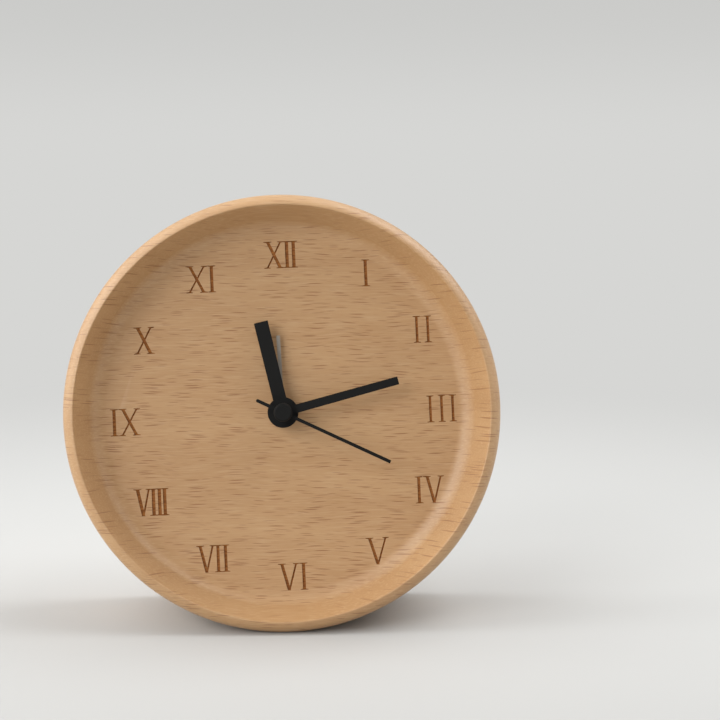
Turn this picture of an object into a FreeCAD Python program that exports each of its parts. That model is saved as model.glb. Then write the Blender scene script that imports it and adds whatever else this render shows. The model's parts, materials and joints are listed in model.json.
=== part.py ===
"""A round desk alarm clock, turned from one block of beech, with a quartz movement in its back.

The dial frame used by every sub-part has its origin at the middle of the dial floor: X to the
right, Y up the dial and Z out of the dial towards the reader. The clock leans back on a flat
cut into its rim, so the dial frame is tilted and lifted before it meets the table at Z = 0.
All lengths are millimetres and all angles are degrees.
"""
import FreeCAD, Part
import math
import os
import re

import Sketcher
from FreeCAD import Placement, Rotation, Vector

SIZES = {
    # Turned case
    "case_radius": 55.0,
    "case_length": 40.0,
    "dish_depth": 9.5,
    "lip_width": 2.8,
    "wall_run": 4.3,
    "dish_fillet": 5.0,
    "lip_round": 4.0,
    "back_round": 1.5,
    "lean_angle": 9.0,
    "base_lead": 4.0,
    "dial_thickness": 5.0,
    "pocket_clearance": 0.5,
    "dial_hole_clearance": 0.2,
    "cut_allowance": 1.0,
    # Movement housing
    "housing_depth": 18.0,
    "housing_corner": 2.5,
    "shell_wall": 1.4,
    "front_shell_depth": 4.4,
    "bush_radius": 3.2,
    "bush_rise": 0.5,
    "nesting_gap": 0.3,
    "tab_root_overlap": 0.7,
    "tab_length": 6.4,
    "tab_width": 9.6,
    "tab_thickness": 1.6,
    "tab_height": 8.0,
    "tab_clearance": 0.2,
    "screw_inset": 3.4,
    "screw_radius": 1.1,
    "screw_clearance": 0.2,
    "screw_length": 10.0,
    "screw_head_radius": 2.3,
    "screw_head_height": 1.4,
    "screw_cross_width": 0.6,
    "screw_cross_span": 2.6,
    "screw_cross_depth": 0.7,
    # Wheels, tubes and arbors
    "wheel_thickness": 1.0,
    "layer_gap": 0.5,
    "collar_radius": 0.85,
    "bearing_gap": 0.06,
    "clutch_gap": 0.04,
    "pivot_depth": 1.0,
    "second_arbor_radius": 0.45,
    "fine_arbor_radius": 0.35,
    "third_arbor_radius": 0.4,
    "minute_tube_radius": 1.2,
    "hour_tube_radius": 1.85,
    "alarm_tube_radius": 2.5,
    "motion_post_radius": 0.7,
    "fifth_post_radius": 0.9,
    "rotor_post_radius": 1.2,
    "boss_radius": 1.0,
    "running_gap": 0.3,
    # Gear train, as tooth counts, centre distances and the directions of the centre lines; the
    # distances are those of a train with this much room from the dial's middle to the bay
    "train_room": 10.5,
    "rotor_pinion_teeth": 12,
    "fifth_wheel_teeth": 60,
    "fifth_pinion_teeth": 10,
    "second_wheel_teeth": 60,
    "second_pinion_teeth": 8,
    "third_wheel_teeth": 64,
    "third_pinion_teeth": 8,
    "centre_wheel_teeth": 60,
    "cannon_teeth": 12,
    "motion_wheel_teeth": 36,
    "motion_pinion_teeth": 10,
    "hour_wheel_teeth": 40,
    "time_pinion_teeth": 14,
    "alarm_wheel_teeth": 40,
    "alarm_gear_teeth": 40,
    "rotor_distance": 9.0,
    "fifth_distance": 11.2,
    "third_distance": 10.8,
    "motion_distance": 8.4,
    "alarm_distance": 14.0,
    "rotor_line_angle": 150.0,
    "fifth_line_angle": 110.0,
    "third_line_angle": 45.0,
    "motion_line_angle": 162.0,
    "time_line_angle": 219.0,
    "alarm_line_angle": -11.0,
    "motion_collar_wall": 0.6,
    # Tooth form, as ratios of the module
    "tooth_tip_ratio": 0.85,
    "tooth_root_ratio": 1.1,
    "root_width_ratio": 1.95,
    "tip_width_ratio": 0.6,
    # Motor
    "magnet_radius": 3.0,
    "magnet_length": 2.4,
    "stator_gap": 0.4,
    "stator_rim": 1.5,
    "stator_bar_width": 4.0,
    "stator_thickness": 1.0,
    "stator_half_length": 11.4,
    "stator_leg_width": 2.6,
    "coil_headroom": 0.2,
    "coil_core_width": 2.0,
    "coil_length": 15.0,
    "coil_radius": 2.7,
    "bobbin_radius": 1.6,
    "bobbin_flange_radius": 2.9,
    "bobbin_flange_thickness": 0.9,
    # Circuit, alarm and battery
    "board_width": 16.0,
    "board_bottom": 1.5,
    "board_margin": 0.6,
    "board_thickness": 1.0,
    "board_depth": 11.4,
    "board_post_inset": 1.5,
    "crystal_radius": 1.0,
    "crystal_length": 6.2,
    "crystal_inset_x": 4.0,
    "crystal_inset_y": 3.5,
    "chip_side": 5.0,
    "chip_height": 1.0,
    "chip_inset_x": 6.0,
    "chip_inset_y": 9.0,
    "buzzer_radius": 8.8,
    "buzzer_thickness": 0.5,
    "buzzer_ledge": 0.6,
    "buzzer_ring_wall": 0.6,
    "buzzer_side_gap": 0.14,
    "buzzer_top_gap": 1.64,
    "sound_slot_length": 10.0,
    "sound_slot_width": 1.2,
    "sound_slot_pitch": 2.4,
    "sound_slots": 5,
    "leaf_thickness": 0.25,
    "leaf_width": 2.0,
    "leaf_tip": 4.6,
    "leaf_root_inset": 11.8,
    "leaf_height": 3.6,
    "cell_radius": 7.25,
    "cell_length": 50.5,
    "cell_nub_radius": 2.75,
    "cell_nub_length": 1.2,
    "cell_shoulder": 0.6,
    "cell_edge": 0.4,
    "cell_clearance": 0.2,
    "bay_wall": 1.2,
    "contact_thickness": 0.4,
    "contact_width": 8.0,
    "contact_floor_gap": 2.0,
    "contact_left_rise": 2.6,
    "contact_right_lap": 7.2,
    "spring_room": 1.9,
    "spring_thickness": 0.3,
    "spring_slant_room": 0.5,
    "spring_bend_drop": 1.5,
    "spring_crown_half": 0.5,
    "spring_crown_shift": 0.1,
    "spring_foot_drop": 5.0,
    "contact_gap": 0.05,
    "lead_radius": 0.45,
    "lead_bend": 3.0,
    "lead_inset": 9.8,
    # Controls on the back
    "knob_radius": 6.0,
    "knob_height": 4.5,
    "knob_gap": 0.4,
    "knob_arbor_radius": 1.2,
    "knob_flute_radius": 0.7,
    "knob_flute_standoff": 0.28,
    "knob_flutes": 20,
    "switch_side_gap": 2.14,
    "switch_y": 18.0,
    "switch_travel": 3.0,
    "switch_neck": 2.2,
    "switch_knob_width": 3.6,
    "switch_knob_length": 4.0,
    "switch_knob_height": 1.5,
    "switch_plate_length": 5.6,
    "switch_plate_width": 3.8,
    "switch_plate_thickness": 0.8,
    "switch_gap": 0.2,
    # Hands, as seen from the front, clockwise from twelve on the dial
    "dial_roll": 2.4,
    "hour_hand_angle": -11.1,
    "minute_hand_angle": 77.2,
    "second_hand_angle": 117.5,
    "alarm_hand_angle": -1.0,
    "hand_thickness": 0.4,
    "second_thickness": 0.3,
    "hour_length": 23.6,
    "hour_tip_width": 3.6,
    "hour_root_width": 3.4,
    "hour_boss_radius": 3.9,
    "minute_length": 30.2,
    "minute_tip_width": 2.05,
    "minute_root_width": 2.2,
    "minute_boss_radius": 3.0,
    "second_length": 29.8,
    "second_tail": 7.4,
    "second_width": 0.85,
    "second_disc_radius": 1.6,
    "second_cap_radius": 2.35,
    "second_cap_height": 1.6,
    "second_cap_edge": 0.5,
    "alarm_length": 19.6,
    "alarm_width": 0.94,
    "alarm_boss_radius": 3.3,
    "hand_boss_height": 1.5,
    "hand_spacing": 0.4,
    "alarm_hand_rise": 0.4,
    "blade_drop": 0.5,
}

# Distance under which two places count as one

SAME_PLACE = 1e-6

doc = FreeCAD.newDocument("desk_alarm_clock")
sheet = doc.addObject("Spreadsheet::Sheet", "Sizes")
for row, (alias, number) in enumerate(SIZES.items(), start=1):
    sheet.set(f"A{row}", alias)
    sheet.set(f"B{row}", str(number))
    sheet.setAlias(f"B{row}", alias)
doc.recompute()

NAME_PATTERN = re.compile(r"\b(" + "|".join(sorted(SIZES, key=len, reverse=True)) + r")\b")


def expression(text):
    """Return a formula of size names as an expression that points at the sheet."""
    return NAME_PATTERN.sub(r"Sizes.\1", str(text))


def value(text):
    """Return the number that a formula of size names stands for."""
    result = sheet.evalExpression(expression(text))
    return float(getattr(result, "Value", result))


def layer(number):
    """Return the formula for the depth of the front face of one wheel layer, from the dial floor."""
    return f"(dial_thickness + shell_wall + layer_gap + {number - 1} * (wheel_thickness + layer_gap))"


def polar(radius, angle):
    """Return the X and Y of a point at a distance and a direction from the origin."""
    return radius * math.cos(math.radians(angle)), radius * math.sin(math.radians(angle))


# Depths behind the dial floor, as formulas

BACK = "(case_length - dish_depth)"
INNER_FRONT = "(dial_thickness + shell_wall)"
SPLIT = "(dial_thickness + front_shell_depth)"
HOUSING_BACK = "(dial_thickness + housing_depth)"
INNER_BACK = "(dial_thickness + housing_depth - shell_wall)"
LEDGE = "(dial_thickness + housing_depth - tab_thickness)"
MAGNET_FRONT = f"({layer(7)} + wheel_thickness + running_gap)"
STATOR_FRONT = f"({MAGNET_FRONT} + (magnet_length - stator_thickness) / 2)"
BOARD_FRONT = "(dial_thickness + board_depth)"
BOARD_BACK = "(dial_thickness + board_depth + board_thickness)"

# Plan positions on the dial plane, as formulas; the square housing is as wide as the cell needs

RIDGE_RADIUS = "(case_radius - lip_width)"
WALL_FOOT_RADIUS = f"({RIDGE_RADIUS} - wall_run)"
INNER_HALF = "(cell_length / 2 + contact_thickness + spring_room / 2)"
HOUSING_HALF = f"({INNER_HALF} + shell_wall)"
CELL_Y = f"(-{INNER_HALF} + cell_clearance + cell_radius)"
BAY_TOP = f"(-{INNER_HALF} + 2 * cell_clearance + 2 * cell_radius)"
CAVITY_BOTTOM = f"({BAY_TOP} + bay_wall)"
BAY_FLOOR = f"({INNER_FRONT} + bay_wall)"
CELL_DEPTH = f"({BAY_FLOOR} + cell_clearance + cell_radius)"
SCREW_X = f"({HOUSING_HALF} + screw_inset)"
BOARD_RIGHT = f"({INNER_HALF} - contact_thickness)"
BOARD_LEFT = f"({BOARD_RIGHT} - board_width)"
BOARD_TOP = f"({INNER_HALF} - board_margin)"
BUZZER_RING_RADIUS = "(buzzer_radius + bearing_gap + buzzer_ring_wall)"
BUZZER_X = f"({INNER_HALF} - buzzer_side_gap - {BUZZER_RING_RADIUS})"
BUZZER_Y = f"({INNER_HALF} - buzzer_top_gap - {BUZZER_RING_RADIUS})"
SWITCH_X = f"({BUZZER_X} - {BUZZER_RING_RADIUS} - switch_side_gap - switch_plate_width / 2)"

# Centre distances of the wheels, as formulas that fit them to the room above the battery bay

TRAIN_SCALE = f"(-{CAVITY_BOTTOM} / train_room)"
THIRD_DISTANCE = f"(third_distance * {TRAIN_SCALE})"
FIFTH_DISTANCE = f"(fifth_distance * {TRAIN_SCALE})"
ROTOR_DISTANCE = f"(rotor_distance * {TRAIN_SCALE})"
MOTION_DISTANCE = f"(motion_distance * {TRAIN_SCALE})"
ALARM_DISTANCE = f"(alarm_distance * {TRAIN_SCALE})"

# Places of the wheels, from their centre distances and directions

THIRD = polar(value(THIRD_DISTANCE), value("third_line_angle"))
FIFTH = polar(value(FIFTH_DISTANCE), value("fifth_line_angle"))
ROTOR_STEP = polar(value(ROTOR_DISTANCE), value("rotor_line_angle"))
ROTOR = (FIFTH[0] + ROTOR_STEP[0], FIFTH[1] + ROTOR_STEP[1])
COIL_DISTANCE = f"({INNER_HALF} - coil_headroom - bobbin_flange_radius - {ROTOR[1]})"
MOTION = polar(value(MOTION_DISTANCE), value("motion_line_angle"))
MOTION_MODULE = f"(2 * {MOTION_DISTANCE} / (cannon_teeth + motion_wheel_teeth))"
TIME_DISTANCE = value(f"{MOTION_MODULE} * (motion_wheel_teeth + time_pinion_teeth) / 2")
TIME_STEP = polar(TIME_DISTANCE, value("time_line_angle"))
TIME_KNOB = (MOTION[0] + TIME_STEP[0], MOTION[1] + TIME_STEP[1])
ALARM_KNOB = polar(value(ALARM_DISTANCE), value("alarm_line_angle"))

# The dial frame: leaning back, with the middle of the flat base at the origin

LEAN = value("lean_angle")
BASE_START = "(dish_depth - base_lead)"
CENTRE_HEIGHT = value(f"case_radius * cos(lean_angle) - {BASE_START} * sin(lean_angle)")
BASE_END_Y = value(f"-case_radius + ({BASE_START} + {BACK}) * tan(lean_angle)")
FOOT_FRONT = value(f"-case_radius * sin(lean_angle) - {BASE_START} * cos(lean_angle)")
FOOT_BACK = value(f"{BASE_END_Y} * sin(lean_angle) + {BACK} * cos(lean_angle)")
DIAL = Placement(
    Vector(0, -(FOOT_FRONT + FOOT_BACK) / 2, CENTRE_HEIGHT),
    Rotation(Vector(1, 0, 0), 90 - LEAN),
)


def on_dial(x=0.0, y=0.0, z=0.0, turn=0.0):
    """Return the placement of a piece whose own origin lies at a point of the dial frame."""
    return DIAL.multiply(Placement(Vector(x, y, z), Rotation(Vector(0, 0, 1), turn)))


class SubPart:
    """One sub-part made as a PartDesign body, drawn in its own frame and then placed."""

    def __init__(self, label, placement):
        """Start an empty body.

        Args:
            label: name of the sub-part.
            placement: where the body's own frame lies.
        """
        self.body = doc.addObject("PartDesign::Body", label)
        self.body.Label = label
        self.body.Placement = placement
        self.label = label
        self.count = 0

    def origin_feature(self, role):
        """Return one of the body's own origin planes or axes."""
        return next(item for item in self.body.Origin.OriginFeatures if item.Role == role)

    def named(self, purpose):
        """Return a fresh object name for a sketch or a feature."""
        self.count += 1
        return f"{self.label}_{purpose}_{self.count}"

    def sketch(self, purpose, height="0", plane="XY_Plane"):
        """Return a sketch on an origin plane, lifted along the plane's normal."""
        drawn = self.body.newObject("Sketcher::SketchObject", self.named(purpose))
        drawn.AttachmentSupport = (self.origin_feature(plane), [""])
        drawn.MapMode = "FlatFace"
        drawn.setExpression("AttachmentOffset.Base.z", expression(height))
        return drawn

    def pad(self, drawn, length, backwards=False, both_ways=False):
        """Add material from a sketch."""
        feature = self.body.newObject("PartDesign::Pad", self.named("pad"))
        feature.Profile = drawn
        feature.Reversed = backwards
        feature.Midplane = both_ways
        feature.setExpression("Length", expression(length))
        return feature

    def pocket(self, drawn, length=None, forwards=False, both_ways=False):
        """Cut material away, all the way through where no length is given."""
        feature = self.body.newObject("PartDesign::Pocket", self.named("pocket"))
        feature.Profile = drawn
        feature.Reversed = forwards
        feature.Midplane = both_ways
        if length is None:
            feature.Type = "ThroughAll"
        else:
            feature.setExpression("Length", expression(length))
        return feature

    def revolve(self, drawn):
        """Turn a half profile round the vertical axis of its sketch."""
        feature = self.body.newObject("PartDesign::Revolution", self.named("turned"))
        feature.Profile = drawn
        feature.ReferenceAxis = (drawn, ["V_Axis"])
        feature.Angle = 360
        return feature

    def ring(self, feature, occurrences):
        """Repeat a feature round the body's Z axis."""
        pattern = self.body.newObject("PartDesign::PolarPattern", self.named("ring"))
        pattern.Originals = [feature]
        pattern.Axis = (self.origin_feature("Z_Axis"), [""])
        pattern.Angle = 360
        pattern.setExpression("Occurrences", expression(occurrences))
        self.body.Tip = pattern
        return pattern

    def fillet(self, radius, chosen):
        """Round the edges of the tip that a test picks out."""
        doc.recompute()
        base = self.body.Tip
        names = [f"Edge{i}" for i, edge in enumerate(base.Shape.Edges, start=1) if chosen(edge)]
        feature = self.body.newObject("PartDesign::Fillet", self.named("fillet"))
        feature.Base = (base, names)
        feature.setExpression("Radius", expression(radius))
        return feature


def pin_point(drawn, geometry, end, x, y):
    """Fix one end of a line or an arc, or a centre, at formulas for X and Y."""
    for kind, formula in (("DistanceX", x), ("DistanceY", y)):
        index = drawn.addConstraint(
            Sketcher.Constraint(kind, -1, 1, geometry, end, value(formula))
        )
        drawn.setExpression(f"Constraints[{index}]", expression(formula))


def outline(drawn, corners):
    """Draw a closed outline, anticlockwise, with each corner held by formulas.

    Args:
        drawn: the sketch.
        corners: (x, y) or (x, y, radius); a radius makes the side that starts there an arc
            that bulges outwards.
    """
    places = [Vector(value(corner[0]), value(corner[1]), 0) for corner in corners]
    sides = []
    for number, corner in enumerate(corners):
        start = places[number]
        end = places[(number + 1) % len(places)]
        if len(corner) == 2:
            sides.append(drawn.addGeometry(Part.LineSegment(start, end)))
            continue
        radius = value(corner[2])
        chord = end.sub(start)
        inward = Vector(-chord.y, chord.x, 0).normalize()
        rise = math.sqrt(max(radius ** 2 - (chord.Length / 2) ** 2, 0.0))
        centre = (start + end) * 0.5 + inward * rise
        first = math.atan2(start.y - centre.y, start.x - centre.x)
        last = math.atan2(end.y - centre.y, end.x - centre.x)
        circle = Part.Circle(centre, Vector(0, 0, 1), radius)
        sides.append(drawn.addGeometry(Part.ArcOfCircle(circle, first, last)))
        index = drawn.addConstraint(Sketcher.Constraint("Radius", sides[-1], radius))
        drawn.setExpression(f"Constraints[{index}]", expression(corner[2]))
    for number, side in enumerate(sides):
        following = sides[(number + 1) % len(sides)]
        drawn.addConstraint(Sketcher.Constraint("Coincident", side, 2, following, 1))
    for number, side in enumerate(sides):
        pin_point(drawn, side, 1, corners[number][0], corners[number][1])
    return drawn


def circle(drawn, radius, x="0", y="0"):
    """Draw a circle with its centre and radius held by formulas."""
    shape = Part.Circle(Vector(value(x), value(y), 0), Vector(0, 0, 1), value(radius))
    side = drawn.addGeometry(shape)
    index = drawn.addConstraint(Sketcher.Constraint("Radius", side, value(radius)))
    drawn.setExpression(f"Constraints[{index}]", expression(radius))
    pin_point(drawn, side, 3, x, y)
    return drawn


def rectangle(drawn, left, bottom, right, top, corner=None):
    """Draw an upright rectangle between formulas, with round corners where a radius is given."""
    if corner is None:
        return outline(drawn, [(left, bottom), (right, bottom), (right, top), (left, top)])
    return outline(drawn, [
        (f"{left} + {corner}", bottom),
        (f"{right} - {corner}", bottom, corner),
        (right, f"{bottom} + {corner}"),
        (right, f"{top} - {corner}", corner),
        (f"{right} - {corner}", top),
        (f"{left} + {corner}", top, corner),
        (left, f"{top} - {corner}"),
        (left, f"{bottom} + {corner}", corner),
    ])


def coded_part(label, shape, placement):
    """Add a sub-part whose shape is worked out from the sheet by a formula."""
    feature = doc.addObject("Part::Feature", label)
    feature.Label = label
    feature.Shape = shape
    feature.Placement = placement
    return feature


def rod(radius, front, back, x=0.0, y=0.0):
    """Return a round rod between two depths behind the dial floor, given as formulas."""
    start = value(back)
    return Part.makeCylinder(value(radius), start - value(front), Vector(x, y, -start))


def toothed_disc(teeth, pitch_radius, phase, depth):
    """Return a toothed disc one wheel thick.

    Each tooth is a straight-sided wedge, cut in proportion to the module and thin enough to
    leave running play against its mate.

    Args:
        teeth: number of teeth.
        pitch_radius: radius of the pitch circle.
        phase: direction of the middle of one tooth, in degrees.
        depth: formula for the depth of the front face behind the dial floor.
    """
    module = 2 * pitch_radius / teeth
    tip_radius = pitch_radius + value("tooth_tip_ratio") * module
    root_radius = pitch_radius - value("tooth_root_ratio") * module
    root_half = value("root_width_ratio") * module / 2 / root_radius
    tip_half = value("tip_width_ratio") * module / 2 / tip_radius
    corners = []
    for number in range(teeth):
        middle = math.radians(phase) + 2 * math.pi * number / teeth
        for radius, swing in (
            (root_radius, -root_half),
            (tip_radius, -tip_half),
            (tip_radius, tip_half),
            (root_radius, root_half),
        ):
            corners.append(Vector(radius * math.cos(middle + swing), radius * math.sin(middle + swing), 0))
    corners.append(corners[0])
    face = Part.Face(Part.makePolygon(corners))
    disc = face.extrude(Vector(0, 0, value("wheel_thickness")))
    disc.translate(Vector(0, 0, -value(depth) - value("wheel_thickness")))
    return disc


def mating_phase(direction, driver_teeth, driver_phase, driven_teeth):
    """Return the tooth direction that puts a gap of the driven wheel on the driver's tooth."""
    ahead = (direction - driver_phase) * driver_teeth / 360
    return direction + 180 - (0.5 - ahead) * 360 / driven_teeth


def count(alias):
    """Return a tooth count or another whole number from the sheet."""
    return int(round(value(alias)))


def build_case():
    """Turned beech case: dished front, cavity for the movement and a flat to stand on."""
    case = SubPart("case", DIAL)
    profile = case.sketch("profile", plane="XZ_Plane")
    lip_drop = "sqrt(lip_round ^ 2 - (lip_round - lip_width) ^ 2)"
    outline(profile, [
        ("0", f"-{BACK}"),
        ("case_radius - back_round", f"-{BACK}", "back_round"),
        ("case_radius", f"-{BACK} + back_round"),
        ("case_radius", f"dish_depth - {lip_drop}", "lip_round"),
        (RIDGE_RADIUS, "dish_depth"),
        (WALL_FOOT_RADIUS, "0"),
        ("0", "0"),
    ])
    case.revolve(profile)
    foot = value(WALL_FOOT_RADIUS)
    case.fillet("dish_fillet", lambda edge: (
        isinstance(edge.Curve, Part.Circle)
        and abs(edge.Curve.Radius - foot) < SAME_PLACE
        and abs(edge.Curve.Center.z) < SAME_PLACE
    ))
    opening = f"({HOUSING_HALF} + pocket_clearance)"
    cavity = case.sketch("cavity", "-dial_thickness")
    pocket_corner = "(housing_corner + pocket_clearance)"
    rectangle(cavity, f"-{opening}", f"-{opening}", opening, opening, pocket_corner)
    case.pocket(cavity)
    ear_reach = f"({HOUSING_HALF} + tab_length + tab_clearance)"
    ear_low = "(tab_height - tab_width / 2 - tab_clearance)"
    ear_high = "(tab_height + tab_width / 2 + tab_clearance)"
    ears = case.sketch("ears", f"-{LEDGE}")
    rectangle(ears, f"-{ear_reach}", ear_low, ear_reach, ear_high)
    case.pocket(ears)
    pilots = case.sketch("pilots", f"-{LEDGE}")
    for side in ("-", ""):
        circle(pilots, "screw_radius", f"{side}{SCREW_X}", "tab_height")
    case.pocket(pilots, "screw_length - tab_thickness", forwards=True)
    hole = case.sketch("dial_hole")
    circle(hole, "bush_radius + dial_hole_clearance")
    case.pocket(hole)
    below = "(-case_radius - cut_allowance)"
    behind = f"(-{BACK} - cut_allowance)"
    base = case.sketch("base", plane="YZ_Plane")
    outline(base, [
        (below, behind),
        (f"-case_radius + ({BASE_START} - {behind}) * tan(lean_angle)", behind),
        ("-case_radius", BASE_START),
        (below, BASE_START),
    ])
    case.pocket(base, "4 * case_radius", both_ways=True)
    return case.body


def add_posts(part, purpose, places, radius, depth_from, depth_to):
    """Stand round posts on the inside of a shell, reaching from one depth to a shallower one."""
    drawn = part.sketch(purpose, f"-{depth_from}")
    for x, y in places:
        circle(drawn, radius, x, y)
    part.pad(drawn, f"{depth_from} - {depth_to}")


def add_bores(part, purpose, places, radius, depth, length, forwards):
    """Sink round bearing holes from one depth."""
    drawn = part.sketch(purpose, f"-{depth}")
    for x, y in places:
        circle(drawn, radius, x, y)
    part.pocket(drawn, length, forwards=forwards)


def build_front_shell():
    """Front half of the movement housing, with the threadless bush that passes the dial."""
    shell = SubPart("movement_front_shell", DIAL)
    block = shell.sketch("block", "-dial_thickness")
    rectangle(block, f"-{HOUSING_HALF}", f"-{HOUSING_HALF}", HOUSING_HALF, HOUSING_HALF,
              "housing_corner")
    shell.pad(block, "front_shell_depth", backwards=True)
    cavity = shell.sketch("cavity", f"-{INNER_FRONT}")
    inner_corner = "(housing_corner - shell_wall)"
    rectangle(cavity, f"-{INNER_HALF}", f"-{INNER_HALF}", INNER_HALF, INNER_HALF, inner_corner)
    shell.pocket(cavity)
    bush = shell.sketch("bush", "-dial_thickness")
    circle(bush, "bush_radius")
    shell.pad(bush, "dial_thickness + bush_rise")
    bore = shell.sketch("bore", "bush_rise")
    circle(bore, "alarm_tube_radius + bearing_gap")
    shell.pocket(bore)
    for purpose, place, radius, end in (
        ("motion_post", MOTION, "motion_post_radius", f"({layer(3)} + wheel_thickness + 0.5 * layer_gap)"),
        ("fifth_post", FIFTH, "fifth_post_radius", f"({layer(6)} - running_gap)"),
        ("rotor_post", ROTOR, "rotor_post_radius", f"({layer(7)} - running_gap)"),
    ):
        post = shell.sketch(purpose, f"-{INNER_FRONT}")
        circle(post, radius, *place)
        shell.pad(post, f"{end} - {INNER_FRONT}", backwards=True)
    fine = "fine_arbor_radius + bearing_gap"
    add_bores(shell, "fifth_bore", [FIFTH], fine, f"({layer(6)} - running_gap)", "pivot_depth", True)
    add_bores(shell, "rotor_bore", [ROTOR], fine, f"({layer(7)} - running_gap)", "pivot_depth", True)
    add_bores(shell, "third_bore", [THIRD], "third_arbor_radius + bearing_gap", INNER_FRONT,
              "pivot_depth", True)
    add_bores(shell, "knob_bores", [TIME_KNOB, ALARM_KNOB], "knob_arbor_radius + bearing_gap",
              INNER_FRONT, "pivot_depth", True)
    return shell.body


def board_post_places():
    """Return the places of the four posts that the circuit board is fixed on."""
    left = value(f"{BOARD_LEFT} + board_post_inset")
    low = value("board_bottom + board_post_inset")
    right = value(f"{BOARD_RIGHT} - board_post_inset")
    top = value(f"{BOARD_TOP} - board_post_inset")
    return [(left, low), (right, low), (right, top), (left, top)]


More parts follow.
